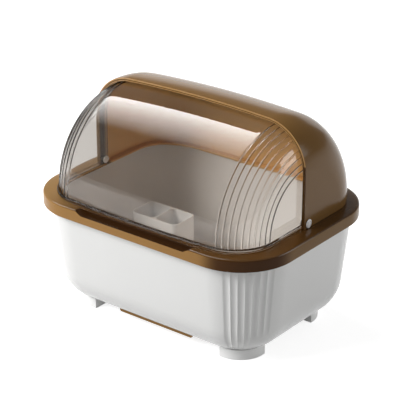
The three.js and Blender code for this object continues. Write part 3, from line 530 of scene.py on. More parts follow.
def tub_outline(bm, grow, z, steps=ROUND_STEPS, turns=None):
    return rounded_outline(bm, TUB_HALF_LENGTH + grow, TUB_HALF_DEPTH + grow, TUB_CORNER + grow,
                           z, steps, turns)


print("tub", round(TUB_HALF_LENGTH * 2, 3), "by", round(TUB_HALF_DEPTH * 2, 3), "at the rim")

# %% [markdown]
# Seven flutes run down the front right corner. Cutting them with cylinders would leave thin
# slivers on the fillet. Instead that corner's vertices are drawn towards its centre, deepest in
# the middle of a flute, fading out where each flute ends on the fillet.

# %% Flutes
FLUTES = 7
FLUTE_SPAN = radians(51)
FLUTE_START = (pi / 2 - FLUTE_SPAN) / 2
FLUTE_STEPS = 8
PLAIN_STEPS = 21  # keeps the steps beside the flutes as fine as those in them
FLUTE_DEPTH = 0.0015
FLUTE_FADE = 0.012
FLUTE_REACH = (0.95, 0.95, 0.9, 0.72, 0.25, 0.2, 0.18)
CORNER_CENTRE = (TUB_HALF_LENGTH - TUB_CORNER, TUB_CORNER - TUB_HALF_DEPTH)
ON_CORNER = 0.0005


def press_flutes(verts):
    pressed = 0
    for v in verts:
        dx, dy = v.co.x - CORNER_CENTRE[0], v.co.y - CORNER_CENTRE[1]
        place = (atan2(dy, dx) + pi / 2 - FLUTE_START) / FLUTE_SPAN * FLUTES
        if dx < -ON_CORNER or dy > ON_CORNER or not 0 < place < FLUTES:
            continue
        flute = min(int(place + MERGE_DISTANCE), FLUTES - 1)
        across = max(place - flute, 0)
        end = FILLET_CENTRE - FLUTE_REACH[flute] * TUB_FILLET
        fade = min(max((v.co.z - end) / FLUTE_FADE, 0), 1)
        depth = FLUTE_DEPTH * sin(fade * pi / 2) * 4 * across * (1 - across)
        reach = hypot(dx, dy)
        v.co.x -= dx / reach * depth
        v.co.y -= dy / reach * depth
        pressed += depth > 0
    return pressed


# %% Tub
def make_tub():
    bm = bmesh.new()
    beside = (FLUTE_START, PLAIN_STEPS)
    flute_turns = [beside, (FLUTE_SPAN, FLUTES * FLUTE_STEPS), beside]
    plain = [(pi / 2, ROUND_STEPS)]
    grow = TUB_FLANGE - tub_inset(TUB_TOP)
    edges = tub_outline(bm, grow, TUB_TOP, turns=[flute_turns, plain, plain, plain])
    bottom = cap(bm, edges)
    flange_low = TUB_TOP - FLANGE_HEIGHT
    heights = [RIM_BOTTOM] + WALL_HEIGHTS + fillet_heights()
    outside = [(0.0, flange_low), (TUB_FLANGE, flange_low)]
    outside += [(grow + tub_inset(z), z) for z in heights]
    carry(bm, bottom, outside, TUB_TOP)
    count = press_flutes([v for v in bm.verts if v.co.z < RIM_BOTTOM + MERGE_DISTANCE])
    rim = cap(bm, open_edges(bm))
    inner_heights = [z for z in heights if z > FLOOR_TOP + FLOOR_ROUND]
    inside = [(TUB_FLANGE + TUB_WALL / 2, TUB_TOP)]
    inside += [(grow + tub_inset(z, TUB_WALL), z) for z in inner_heights + [FLOOR_TOP]]
    carry(bm, rim, inside, TUB_TOP)
    print("flute vertices pressed in:", count)
    return bm


tub = settle("tub_shell", make_tub(), white_gloss)

# %% [markdown]
# Under the floor the tub has a bay for the drip tray, with a mouth through the front fillet,
# slots that drain into it, and a pocket at each end. They are straight hollows, so boxes cut them.

# %% Hollows under the tub
BAY_TOP = 0.0206
BAY_HALF_LENGTH = 0.096
BAY_HALF_DEPTH = 0.076
MOUTH_HALF = 0.0719
MOUTH_TOP = 0.0203
POCKET_FAR = 0.1307
POCKET_HALF_DEPTH = 0.0578
BAY_WALL = 0.003
POCKET_NEAR = BAY_HALF_LENGTH + BAY_WALL
DRAINS = [(x * 0.024, y * 0.027 - 0.005) for x in (-2, -1, 0, 1, 2) for y in (-1.5, -0.5, 0.5, 1.5)]
bay = ((-BAY_HALF_LENGTH, -BAY_HALF_DEPTH, 0), (BAY_HALF_LENGTH, BAY_HALF_DEPTH, BAY_TOP))
pockets = [((near, -POCKET_HALF_DEPTH, 0), (far, POCKET_HALF_DEPTH, BAY_TOP))
           for near, far in ((-POCKET_FAR, -POCKET_NEAR), (POCKET_NEAR, POCKET_FAR))]
drains = like_boxes(DRAINS, 0.007, 0.0015, 0.015, 0.03)
mouth = ((-MOUTH_HALF, -0.2, 0), (MOUTH_HALF, -BAY_HALF_DEPTH + BAY_WALL, MOUTH_TOP))
boolean(tub, "hollows", boxes(bay, *pockets))
boolean(tub, "drains", boxes(*drains, mouth))
print("drain slots:", len(drains))

# %% [markdown]
# The tub is glossy outside and satin inside, where its white is painted paler: painted light that
# lifts the shade. Two shells would double its wall, so each face takes its plastic by the side that
# it looks to.

# %% Finish of the tub
# The inside takes the paler satin white: painted light that lifts its shade.
more_plastics(tub, white_satin_lit)
for face in tub.data.polygons:
    centre, normal = face.center, face.normal
    across = centre.x * normal.x + centre.y * normal.y
    inside = centre.z > FLOOR_TOP + LEVEL and across < 0
    face.material_index = int(inside or (abs(centre.z - FLOOR_TOP) < LEVEL and normal.z > 0.9))
count_plastics(tub)
dress(tub, "base", ["tub"], 0.0005)

# %% [markdown]
# Four feet stand under the tub's corners. Each is a quarter round block with its two flat sides
# inwards. Its top follows the tub's fillet: it is cut by a copy of the tub's form, a hair larger.

# %% Feet
FOOT_RADIUS = 0.044
FOOT_BACK = 0.005
FOOT_TOP = 0.0172
FOOT_GAP = 0.0003
CORNER_X, CORNER_Y = CORNER_CENTRE[0], -CORNER_CENTRE[1]


def make_foot(side_x, side_y):
    bm = bmesh.new()
    start = (FOOT_RADIUS, -FOOT_BACK, 0)
    moves = [(FOOT_RADIUS, 0, 0), ((0, 0, 0), (pi / 2, ROUND_STEPS)),
             (-FOOT_BACK, FOOT_RADIUS, 0), (-FOOT_BACK, -FOOT_BACK, 0), start]
    solid_between(bm, close_outline(bm, start, moves), 0, FOOT_TOP)
    bmesh.ops.scale(bm, verts=bm.verts, vec=(side_x, side_y, 1))
    shift(bm, bm.verts, (side_x * CORNER_X, side_y * CORNER_Y, 0))
    return bm


def make_clearance():
    bm = bmesh.new()
    face = cap(bm, tub_outline(bm, FOOT_GAP, RIM_BOTTOM))
    carry(bm, face, [(tub_inset(z), z - FOOT_GAP) for z in fillet_heights()], RIM_BOTTOM)
    cap(bm, open_edges(bm))
    return bm


for side_x, word_x in ((-1, "left"), (1, "right")):
    for side_y, word_y in ((-1, "front"), (1, "rear")):
        name = f"foot_{word_y}_{word_x}"
        # The feet take a paler white: painted light for their shade under the tub.
        foot = settle(name + "_block", make_foot(side_x, side_y), white_foot)
        boolean(foot, "clearance", make_clearance())
        dress(foot, "base", [name], 0.0011)

# %% [markdown]
# The hood and the cover come from one arch: flat cheeks, round corners and a slightly crowned
# top. Turned about the pivot axis, it gives two shells that run one inside the other, which a
# bent sheet or a scaled ball would not.

# %% The arch
RIM_TOP = 0.1945
PIVOT_Z = 0.2019
ARCH_HALF = 0.202
ARCH_RADIUS = 0.1578
CROWN_RADIUS = 2.26
ARCH_CORNER = 0.073
ACROSS = ARCH_HALF - ARCH_CORNER
CROWN_CENTRE = ARCH_RADIUS - CROWN_RADIUS
CORNER_RISE = CROWN_CENTRE + sqrt((CROWN_RADIUS - ARCH_CORNER) ** 2 - ACROSS ** 2)
CORNER_TURN = atan2(CORNER_RISE - CROWN_CENTRE, ACROSS)
CORNER_STEPS = 28
CROWN_STEPS = 16
print("arch corner turns", round(CORNER_TURN, 3), "rad about", round(CORNER_RISE, 4))


def arch_moves(offset, place):
    """Runs and turns from the right cheek's foot over the crown to the left one's."""
    half = ARCH_HALF - offset
    return [place(half, CORNER_RISE),
            (place(ACROSS, CORNER_RISE), (CORNER_TURN, CORNER_STEPS)),
            (place(0, CROWN_CENTRE), (pi - 2 * CORNER_TURN, CROWN_STEPS)),
            (place(-ACROSS, CORNER_RISE), (CORNER_TURN, CORNER_STEPS)), place(-half, 0)]


def upright(u, v):
    return (u, 0, PIVOT_Z + v)


def flat(z, turn=1):
    return lambda u, v: (turn * u, turn * v, z)


TURN_STEPS = 144


def spin_round(bm, line, steps):
    bmesh.ops.spin(bm, geom=line + edges_at(line), cent=(0, 0, PIVOT_Z), axis=(1, 0, 0),
                   angle=2 * pi, steps=steps, use_merge=True)


def turn_arch(bm, half, moves):
    """Turns an upright profile once round the pivot axis, and closes its two poles."""
    old = set(bm.verts)
    draw(bm, upright(half, 0), moves, axis=(0, -1, 0))
    line = [v for v in bm.verts if v not in old]
    spin_round(bm, line, TURN_STEPS)
    new = [v for v in bm.verts if v not in old]
    bmesh.ops.remove_doubles(bm, verts=new, dist=MERGE_DISTANCE)
    new = [v for v in bm.verts if v not in old]
    return new + edges_at(new) + list(dict.fromkeys(f for v in new for f in v.link_faces))


def cut_away(bm, geom, place, normal):
    """Removes what lies beyond a plane and returns the open edges along it."""
    cut = bmesh.ops.bisect_plane(bm, geom=geom, dist=MERGE_DISTANCE, plane_co=place,
                                 plane_no=normal, clear_outer=True)
    return only(BMEdge, cut["geom_cut"])


def push_out(bm, face, way):
    grown = bmesh.ops.extrude_face_region(bm, geom=[face])["geom"]
    shift(bm, only(BMVert, grown), way)


def everything(bm):
    return list(bm.verts) + list(bm.edges) + list(bm.faces)


# %% [markdown]
# The hood is the rear half of that turned form. Its front edge carries a frame: two fine stripes
# with a groove between, and then a return that hides the cover's rear edge. The frame is inset
# into the flat cut of the outer form and then joined to the inner form, so that it stays one
# closed shell.

# %% Hood
HOOD_WALL = 0.0025
HOOD_FRONT = 0.0095
HOOD_BOTTOM = RIM_TOP + 0.0003
FRAME_WIDTH = 0.006
FRAME_DEPTH = 0.0026
FRAME_STEP = 0.0006
FRAME_LEAN = 0.0004  # the frame's back leans by this, so that the two loops lie apart
FRAME_LEVELS = [(0.0022, 0.0), (0.0027, 0.0011), (0.0034, 0.0011), (0.0039, 0.0), (0.0050, 0.0),
                (0.0052, FRAME_STEP), (FRAME_WIDTH, FRAME_STEP),
                (FRAME_WIDTH + 2 * MERGE_DISTANCE, FRAME_DEPTH)]


def make_hood():
    bm = bmesh.new()
    outer = turn_arch(bm, ARCH_HALF, arch_moves(0, upright))
    front = cut_away(bm, outer, (0, -HOOD_FRONT, 0), (0, -1, 0))
    face = carry(bm, cap(bm, front), FRAME_LEVELS, 0, axis=1)
    back_edges = list(face.edges)
    bmesh.ops.delete(bm, geom=[face], context="FACES_ONLY")
    inner = turn_arch(bm, ARCH_HALF - HOOD_WALL, arch_moves(HOOD_WALL, upright))
    inner_edges = cut_away(bm, inner, (0, -HOOD_FRONT + FRAME_DEPTH + FRAME_LEAN, 0), (0, -1, 0))
    bmesh.ops.bridge_loops(bm, edges=back_edges + inner_edges)
    foot_edges = cut_away(bm, everything(bm), (0, 0, HOOD_BOTTOM), (0, 0, -1))
    bmesh.ops.holes_fill(bm, edges=foot_edges, sides=0)
    print("hood open edges:", sum(e.is_boundary for e in bm.edges))
    return bm


hood = settle("hood_shell", make_hood(), brown_hood, "lid", ["rear_hood"], 0.0005)

# %% [markdown]
# The hood's faces take their plastic by where they lie: the inner side is painted lighter, which is
# painted light, the frame's stripes are painted golden along the crown as painted light and dark
# down the cheeks as painted shade, and the narrow step behind them is painted dark as a painted
# shadow gap.

# %% Finish of the hood
INNER_SPAN = ARCH_HALF - HOOD_WALL / 2
STRIPES_END = PIVOT_Z + CORNER_RISE + 0.01
more_plastics(hood, brown_inside_lit_and_shaded, brown_edge_lit, brown_painted_shade_and_light)
for face in hood.data.polygons:
    centre = face.center
    sunk = centre.y + HOOD_FRONT
    radial = Vector((0, centre.y, centre.z - PIVOT_Z))
    outward = face.normal.dot(Vector((centre.x / ARCH_HALF, *(radial / ARCH_RADIUS)[1:])))
    # The inner side takes the lighter inside plastic: painted light.
    if outward < 0 and sunk > FRAME_DEPTH + LEVEL and abs(centre.x) < INNER_SPAN:
        face.material_index = 1
    # The stripes: painted light along the crown, painted shade down the cheeks; the step: a painted
    # shadow gap.
    if face.normal.y < -0.99 and abs(sunk) < LEVEL:
        face.material_index = 2 if centre.z > STRIPES_END else 3
    elif face.normal.y < -0.99 and abs(sunk - FRAME_STEP) < LEVEL:
        face.material_index = 3
count_plastics(hood)

# %% [markdown]
# The cover is turned from the same arch, a little further in. Ten ring ribs run round each
# corner, so its profile has ten small bumps there; a bump map would not bend the light as real
# ribs do. Along the foot it has a rounded bead, proud in front and almost level near the pivots,
# where it has to pass under the hood.

# %% Cover's ribs
COVER_SKIN = 0.0077
COVER_OUTER = 0.0067
COVER_WALL = 0.0022
RIBS = 10
RIB_HEIGHT = 0.001
RIB_HALF_WIDTH = 0.0015
RIB_PITCH = 0.0095
RIB_START = 0.0095
RIB_STEPS = 6


def ribbed_corner(side):
    """Turns of one corner with its ribs, from the cheek to the crown or back."""
    radius = ARCH_CORNER - COVER_SKIN
    bulge = (RIB_HALF_WIDTH ** 2 + RIB_HEIGHT ** 2) / (2 * RIB_HEIGHT)
    foot = RIB_HALF_WIDTH / radius
    out = radius + RIB_HEIGHT - bulge
    lean = atan2(radius * sin(foot), radius * cos(foot) - out)
    angles = [CORNER_TURN - (RIB_START + i * RIB_PITCH) / radius for i in range(RIBS)][::-1]
    if side < 0:
        angles = [CORNER_TURN - a for a in angles][::-1]
    done = 0.0
    moves = []
    centre = upright(side * ACROSS, CORNER_RISE)
    for angle in angles:
        moves.append((centre, (angle - foot - done, 3)))
        toward = angle if side > 0 else pi - CORNER_TURN + angle
        rib = upright(side * ACROSS + out * cos(toward), CORNER_RISE + out * sin(toward))
        moves.append((rib, (2 * lean, RIB_STEPS)))
        done = angle + foot
    moves.append((centre, (CORNER_TURN - done, 3)))
    return moves


def cover_moves():
    half = ARCH_HALF - COVER_SKIN
    return ([upright(half, CORNER_RISE)] + ribbed_corner(1)
            + [(upright(0, CROWN_CENTRE), (pi - 2 * CORNER_TURN, CROWN_STEPS))]
            + ribbed_corner(-1) + [upright(-half, CORNER_RISE), upright(-half, 0)])


print("moves of the cover's profile:", len(cover_moves()))

# %% Cover's bead
COVER_BOTTOM = 0.1949
BEAD_TOP = 0.2005
BEAD_PROUD = 0.004
BEAD_FREE = 0.066
BEAD_ROUND = 0.0016


def plan_outline(bm, offset, z):
    """The arch laid flat, in front of the pivots and mirrored behind them."""
    half = ARCH_HALF - offset
    rear = arch_moves(offset, flat(z))
    front = arch_moves(offset, flat(z, -1))
    return close_outline(bm, (half, 0, z), rear + front)


def make_bead(offset, y_back):
    bm = bmesh.new()
    middle = (COVER_BOTTOM + BEAD_TOP) / 2
    edges = plan_outline(bm, offset, middle)
    top_round = quarter(BEAD_ROUND, 4, BEAD_TOP - BEAD_ROUND, 1)
    foot_round = quarter(BEAD_ROUND, 4, COVER_BOTTOM + BEAD_ROUND, -1)
    carry(bm, cap(bm, edges), [(0.0, BEAD_TOP - BEAD_ROUND)] + top_round, middle)
    carry(bm, cap(bm, open_edges(bm)), [(0.0, COVER_BOTTOM + BEAD_ROUND)] + foot_round, middle)
    rear = cut_away(bm, everything(bm), (0, y_back, 0), (0, 1, 0))
    bmesh.ops.holes_fill(bm, edges=rear, sides=0)
    return bm


# %% [markdown]
# The cover's solid form and its two beads are joined first, then the hollow is cut out, and last
# all is kept that lies in front of the ears and above the rim. In that order every edge is closed.

# %% Cover
COVER_EAR = 0.007


def make_cover_space():
    """The space in front of the ears and above the rim, rounded about the pivots."""
    bm = bmesh.new()
    reach = 0.3
    start = (-reach, -reach, COVER_BOTTOM)
    moves = [(-reach, 0, COVER_BOTTOM), ((-reach, 0, PIVOT_Z), (pi / 2, 12)),
             (-reach, COVER_EAR, PIVOT_Z + reach), (-reach, -reach, PIVOT_Z + reach), start]
    edges = close_outline(bm, start, moves, axis=(1, 0, 0))
    push_out(bm, cap(bm, edges), (2 * reach, 0, 0))
    return bm


def make_turned(half, moves):
    bm = bmesh.new()
    turn_arch(bm, half, moves)
    return bm


solid = make_turned(ARCH_HALF - COVER_SKIN, cover_moves())
inner = COVER_SKIN + COVER_WALL
cover = settle("cover_shell", solid, clear)
boolean(cover, "proud_bead", make_bead(COVER_SKIN - BEAD_PROUD, -BEAD_FREE), "UNION")
boolean(cover, "level_bead", make_bead(COVER_OUTER - 0.0002, COVER_EAR * 2), "UNION")
boolean(cover, "hollow", make_turned(ARCH_HALF - inner, arch_moves(inner, upright)))
boolean(cover, "space", make_cover_space(), "INTERSECT")
dress(cover, "cover", ["front_cover"])

# %% [markdown]
# The rim is a collar: an outer wall with a rounded top edge, a ledge, and a ring under the ledge
# that stands on the tub's wall. Its outer outline is a rounded rectangle, and its opening
# follows the arch. Cutting a slab would leave one flat ledge; bridging the outlines, with one
# more under the hood, gives faces that can take their own plastic.

# %% Rim
RIM_HALF_LENGTH = 0.225
RIM_HALF_DEPTH = 0.166
RIM_CORNER = 0.09
RIM_WALL = 0.0025
RIM_ROUND = 0.003
OPENING_OFFSET = 0.0127
SEAT_LOW = 0.1856
LEDGE_LEAN = 0.0002  # the ledge thins by this towards the opening, above and below
UNDER_HOOD = 0.0013  # a loop here runs inside the middle of the hood's wall


def make_rim():
    bm = bmesh.new()
    outer = rounded_outline(bm, RIM_HALF_LENGTH, RIM_HALF_DEPTH, RIM_CORNER, RIM_BOTTOM)
    top_face = cap(bm, outer)
    levels = [(0.0, RIM_TOP - RIM_ROUND)] + quarter(RIM_ROUND, 6, RIM_TOP - RIM_ROUND, 1)
    carry(bm, top_face, levels, RIM_BOTTOM)
    ledge_edge = list(top_face.edges)
    bmesh.ops.delete(bm, geom=[top_face], context="FACES_ONLY")
    bottom = cap(bm, open_edges(bm, RIM_BOTTOM))
    carry(bm, bottom, [(RIM_WALL, RIM_BOTTOM), (RIM_WALL, RIM_TOP - RIM_WALL)], RIM_BOTTOM)
    roof_edge = list(bottom.edges)
    bmesh.ops.delete(bm, geom=[bottom], context="FACES_ONLY")
    low, high = RIM_TOP - RIM_WALL + LEDGE_LEAN, RIM_TOP - LEDGE_LEAN
    opening_low = plan_outline(bm, OPENING_OFFSET, low)
    grown = bmesh.ops.extrude_edge_only(bm, edges=opening_low)["geom"]
    shift(bm, only(BMVert, grown), (0, 0, high - low))
    opening_high = [e for e in only(BMEdge, grown)
                    if all(abs(v.co.z - high) < SAME_HEIGHT for v in e.verts)]
    under_hood = plan_outline(bm, UNDER_HOOD, RIM_TOP - LEDGE_LEAN / 2)
    bmesh.ops.bridge_loops(bm, edges=ledge_edge + under_hood)
    bmesh.ops.bridge_loops(bm, edges=under_hood + opening_high)
    bmesh.ops.bridge_loops(bm, edges=opening_low + roof_edge)
    print("rim open edges:", sum(e.is_boundary for e in bm.edges))
    return bm


def make_seat():
    """The ring under the ledge that stands on the top edge of the tub's wall."""
    bm = bmesh.new()
    grow = -tub_inset(TUB_TOP)
    high = RIM_TOP - RIM_WALL / 2
    face = cap(bm, tub_outline(bm, grow, SEAT_LOW))
    carry(bm, face, [(0.0, high), (TUB_WALL, high), (TUB_WALL, SEAT_LOW)], SEAT_LOW)
    bmesh.ops.delete(bm, geom=[face], context="FACES_ONLY")
    bmesh.ops.bridge_loops(bm, edges=open_edges(bm, SEAT_LOW))
    return bm


rim = settle("rim_collar", make_rim(), brown_rim)

# %% [markdown]
# A scoop in the front of the rim lets fingers reach the cover's bead. Its pan is joined to the
# rim first, and then the scoop is cut out of both, so that the wall stays even.

# %% Finger scoop
SCOOP_HALF = 0.098
SCOOP_FLARE = 0.012
SCOOP_DEPTH = 0.0065
SCOOP_REACH = 0.012
PAN_SHORT = 0.001  # the pan ends this far inside the rim's outer faces
CUT_PAST = 0.005  # and the cut runs this far past them


def make_scoop(wall):
    bm = bmesh.new()
    past = -PAN_SHORT if wall else CUT_PAST
    low, high = RIM_TOP - SCOOP_DEPTH - wall, RIM_TOP + past
    back = -RIM_HALF_DEPTH + SCOOP_REACH + wall
    cube = block(bm, (-1, -RIM_HALF_DEPTH - past, low), (1, back, high))
    flare = SCOOP_FLARE * (high - low) / SCOOP_DEPTH
    for v in cube:
        half = SCOOP_HALF + wall + (flare if v.co.z > (low + high) / 2 else 0)
        v.co.x = half if v.co.x > 0 else -half
    return bm


boolean(rim, "seat", make_seat(), "UNION")
boolean(rim, "scoop_pan", make_scoop(RIM_WALL), "UNION")
boolean(rim, "scoop", make_scoop(0))
print("scoop", SCOOP_HALF * 2, "m wide")

# %% [markdown]
# The rim's faces are sorted in the same way: painted shade on the ledge, the darkest painted shade
# in the scoop, and painted light within the hood, where they take the painted colour of its inner
# side.

# %% Finish of the rim
LEDGE_SLOPE = 0.6  # how far up a face looks, from which on it counts as ledge
HOOD_MARGIN = 1.02


def within_hood(x, y):
    across = max(abs(x) - ACROSS, 0) / (ARCH_HALF - UNDER_HOOD - ACROSS)
    deep = max(y - CORNER_RISE, 0) / (ARCH_RADIUS - UNDER_HOOD - CORNER_RISE)
    return y > -HOOD_FRONT and (across < 1 and y < CORNER_RISE
                                or hypot(across, deep) < HOOD_MARGIN)


more_plastics(rim, brown_painted_shade_and_light, brown_inside_lit_and_shaded, brown_scoop_shade)
# Faces that look up take the dark plastic: painted shade. Faces within the hood take the inner
# side's painted light.
for face in rim.data.polygons:
    centre = face.center
    in_scoop = (abs(centre.x) < SCOOP_HALF + SCOOP_FLARE
                and 2 * LEVEL < centre.y + RIM_HALF_DEPTH < SCOOP_REACH + LEVEL
                and centre.z > RIM_TOP - SCOOP_DEPTH - LEVEL)
    face.material_index = 3 if in_scoop else int(face.normal.z > LEDGE_SLOPE)
    corners = [rim.data.vertices[v].co for v in face.vertices]
    if all(within_hood(place.x, place.y) for place in [centre] + corners):
        face.material_index = 2
count_plastics(rim)
dress(rim, "lid", ["rim_frame"], 0.0006)

# %% [markdown]
# A white pin goes through each cheek and each ear of the cover. Its head is a low dome with a
# fine ring round a flat middle, and a plain cap closes its inner end. Both are turned parts, so
# their profiles are spun about the pivot axis.

# %% Pins and caps
PIN_HEAD_START = 0.2023
PIN_STEPS = 48
SHANK_RADIUS = 0.003
SHANK_END = 0.1918
CAP_OUTER = 0.1915
CAP_RADIUS = 0.006
CAP_HEIGHT = 0.0024
CAP_PROFILE = [(0.0, CAP_OUTER), (0.0052, CAP_OUTER), (CAP_RADIUS, CAP_OUTER - 0.0005),
               (CAP_RADIUS, CAP_OUTER - 0.0017), (0.0054, CAP_OUTER - CAP_HEIGHT),
               (0.0, CAP_OUTER - CAP_HEIGHT)]
HEAD_RADIUS = 0.0070
HEAD_EDGE = 0.0006
HEAD_PROFILE = [(HEAD_RADIUS, 0.0), (HEAD_RADIUS, HEAD_EDGE), (0.0066, 0.0012), (0.0058, 0.0017),
                (0.0051, 0.0019), (0.0048, 0.0007), (0.0038, 0.0007), (0.0035, 0.0021),
                (0.0020, 0.0022), (0.0, 0.0022)]


def turn_round_axis(points):
    """Turns points of (radius, place along X) once round the pivot axis."""
    bm = bmesh.new()
    first = bm.verts.new((points[0][1], 0, PIVOT_Z + points[0][0]))
    line = [first]
    for radius, x in points[1:]:
        tip = bmesh.ops.extrude_vert_indiv(bm, verts=[line[-1]])["verts"][0]
        tip.co = (x, 0, PIVOT_Z + radius)
        line.append(tip)
    spin_round(bm, line, PIN_STEPS)
    return bm


for side, word in ((-1, "left"), (1, "right")):
    head = [(r, side * (PIN_HEAD_START + x)) for r, x in HEAD_PROFILE]
    shank = [(0.0, side * SHANK_END), (SHANK_RADIUS, side * SHANK_END),
             (SHANK_RADIUS, side * PIN_HEAD_START)]
    pin = settle(f"pin_{word}", turn_round_axis(shank + head), white_satin_lit, "lid",
                 [f"pivot_pin_{word}"])
    more_plastics(pin, brown_painted_shade_and_light)
    # The narrow band round the foot of each head takes the dark plastic: a painted shadow gap.
    for face in pin.data.polygons:
        out = abs(face.center.x) - PIN_HEAD_START
        reach = hypot(face.center.y, face.center.z - PIVOT_Z)
        face.material_index = int(reach > HEAD_RADIUS - LEVEL and out < HEAD_EDGE)
    bm = turn_round_axis([(r, side * x) for r, x in CAP_PROFILE])
    settle(f"cap_{word}", bm, white_satin_lit, "lid", [f"pin_cap_{word}"])

# %% [markdown]
# The drip tray is a shallow brown tray. Only its lip shows, a thin bar with round ends under the
# front of the tub. The lip is an extruded outline; pan, flange and hollow are boxes.

# %% Drip tray
TRAY_LOW = 0.0135
TRAY_TOP = 0.0199
TRAY_HALF = 0.0715
TRAY_FRONT = -0.111
TRAY_REAR = 0.066
TRAY_LIP = 0.0024
TRAY_WALL = 0.0016
TRAY_FLANGE = 0.0028
STEP_BACK = 0.0001  # joined blocks step back by this, so that no two faces coincide


def make_tray_lip():
    bm = bmesh.new()
    end = (TRAY_TOP - TRAY_LOW) / 2
    z = TRAY_LOW + end
    x = TRAY_HALF - end
    back = TRAY_FRONT + TRAY_LIP
    start = (x, back, TRAY_LOW)
    moves = [((x, back, z), (pi, 12)), (-x, back, TRAY_TOP), ((-x, back, z), (pi, 12)), start]
    edges = close_outline(bm, start, moves, axis=(0, -1, 0))
    push_out(bm, cap(bm, edges), (0, -TRAY_LIP, 0))
    return bm


behind_lip = TRAY_FRONT + TRAY_LIP / 2
pan_half = TRAY_HALF - TRAY_FLANGE
flange_half = TRAY_HALF - 4 * STEP_BACK
hollow_half = pan_half - TRAY_WALL
pan = ((-pan_half, behind_lip, TRAY_LOW), (pan_half, TRAY_REAR, TRAY_TOP - 2 * STEP_BACK))
flange = ((-flange_half, behind_lip, TRAY_TOP - TRAY_WALL),
          (flange_half, TRAY_REAR - 2 * STEP_BACK, TRAY_TOP - STEP_BACK))
hollow = ((-hollow_half, TRAY_FRONT + TRAY_LIP, TRAY_LOW + TRAY_WALL),
          (hollow_half, TRAY_REAR - TRAY_WALL, TRAY_TOP + 0.01))
tray = settle("tray_pan", make_tray_lip(), brown_rim)
boolean(tray, "pan", boxes(pan), "UNION")
boolean(tray, "flange", boxes(flange), "UNION")
boolean(tray, "tray_hollow", boxes(hollow))
dress(tray, "tray", ["drip_tray"], 0.0004)

# %% [markdown]
# Inside stand a slotted board on legs, a rack with two combs, and a cup with two wells. They are
# satin white, because the lid's light would leave hard spots on a polished finish, and painted
# paler, which is painted light for the shade under the lid. The board follows the tub's inner wall,
# so it is drawn with the tub's own insets.

# %% Drain board
BOARD_TOP = 0.0381
BOARD_LOW = 0.0361
BOARD_GAP = TUB_WALL + 0.001  # from the tub's outer side
BOARD_LEG = 0.004
LEG_GAP = 0.0003
LEG_SUNK = 0.001
SLOT_ROUND = 0.0024
BOARD_STEPS = 16
CORNER_Y_FREE = 0.075  # beyond this and CORNER_X the board's corners have no slots
BOARD_GRID = [((i - 3.5) * 0.042, (j - 2) * 0.038) for i in range(8) for j in range(5)]
BOARD_SLOTS = [(x, y) for x, y in BOARD_GRID if abs(x) < CORNER_X or abs(y) < CORNER_Y_FREE]


def make_board():
    bm = bmesh.new()
    inset = tub_inset(BOARD_TOP, BOARD_GAP)
    edges = tub_outline(bm, -inset, BOARD_TOP, BOARD_STEPS)
    solid_between(bm, edges, BOARD_TOP, BOARD_LOW, tub_inset(BOARD_LOW, BOARD_GAP) - inset)
    return bm


def make_board_slots():
    bm = bmesh.new()
    for low, high in like_boxes(BOARD_SLOTS, 0.015, 0.0025, 0.03, 0.045):
        slot = block(bm, low, high)
        uprights = [e for e in edges_at(slot)
                    if abs(e.verts[0].co.z - e.verts[1].co.z) > SLOT_ROUND]
        bmesh.ops.bevel(bm, geom=uprights, offset=SLOT_ROUND, segments=5, profile=0.5,
                        affect="EDGES", material=-1)
    return bm


def make_board_legs():
    bm = bmesh.new()
    low, high = FLOOR_TOP + LEG_GAP, BOARD_LOW + LEG_SUNK
    for i in (-1, 0, 1):
        for j in (-1, 1):
            leg = bmesh.ops.create_cone(bm, cap_ends=True, segments=24, radius1=BOARD_LEG,
                                        radius2=BOARD_LEG, depth=high - low)["verts"]
            shift(bm, leg, (i * (CORNER_X - BOARD_LEG), j * CORNER_Y, (low + high) / 2))
    return bm


board = settle("board_plate", make_board(), white_satin_lit)
boolean(board, "board_legs", make_board_legs(), "UNION")
boolean(board, "board_slots", make_board_slots())
dress(board, "base", ["drain_board"], 0.0004)

# %% [markdown]
# The rack's base is a frame with a middle bar, a box with two hollows; its bars lie a little lower
# than its rails.

# %% Base of the rack
RACK_X = 0.096
RACK_Y = -0.022
RACK_HALF_LENGTH = 0.08625
RAIL_HALF_SPACING = 0.048
RAIL_HALF_WIDTH = 0.005
RAIL_LOW = 0.0384
RAIL_TOP = 0.0444
BAR_TOP = 0.0424
INNER_Y = RAIL_HALF_SPACING - RAIL_HALF_WIDTH
OUTER_Y = RAIL_HALF_SPACING + RAIL_HALF_WIDTH
BAY_PITCH = RACK_HALF_LENGTH - RAIL_HALF_WIDTH
BAY_HALF = BAY_PITCH / 2 - RAIL_HALF_WIDTH
whole_rack = ((RACK_X - RACK_HALF_LENGTH, RACK_Y - OUTER_Y, RAIL_LOW),
              (RACK_X + RACK_HALF_LENGTH, RACK_Y + OUTER_Y, RAIL_TOP))
rack_bays = [(RACK_X - BAY_PITCH / 2, RACK_Y), (RACK_X + BAY_PITCH / 2, RACK_Y)]
rack_hollows = like_boxes(rack_bays, BAY_HALF, INNER_Y, 0.03, 0.05)
above_bars = ((RACK_X - 0.1, RACK_Y - INNER_Y, BAR_TOP), (RACK_X + 0.1, RACK_Y + INNER_Y, 0.06))
rack = settle("rack_base", boxes(whole_rack), white_satin_lit)
boolean(rack, "rack_hollows", boxes(*rack_hollows))
boolean(rack, "rack_steps", boxes(above_bars))
dress(rack, "base", ["plate_rack_base"], 0.0006)

# %% [markdown]
# A comb is a strip with fourteen tapered fingers. They could be joined to the strip one by one;
# here cuts across the strip leave thin cells on its top, and each is drawn up into a finger.

# %% Combs
COMB_LOW = 0.0447
STRIP_TOP = 0.0487
FINGER_TOP = 0.0847
FINGERS = 14
FINGER_PITCH = 0.0125
FINGER_HALF_WIDTH = 0.004
FINGER_HALF_THICKNESS = 0.002
TIP_SHARE = 0.5


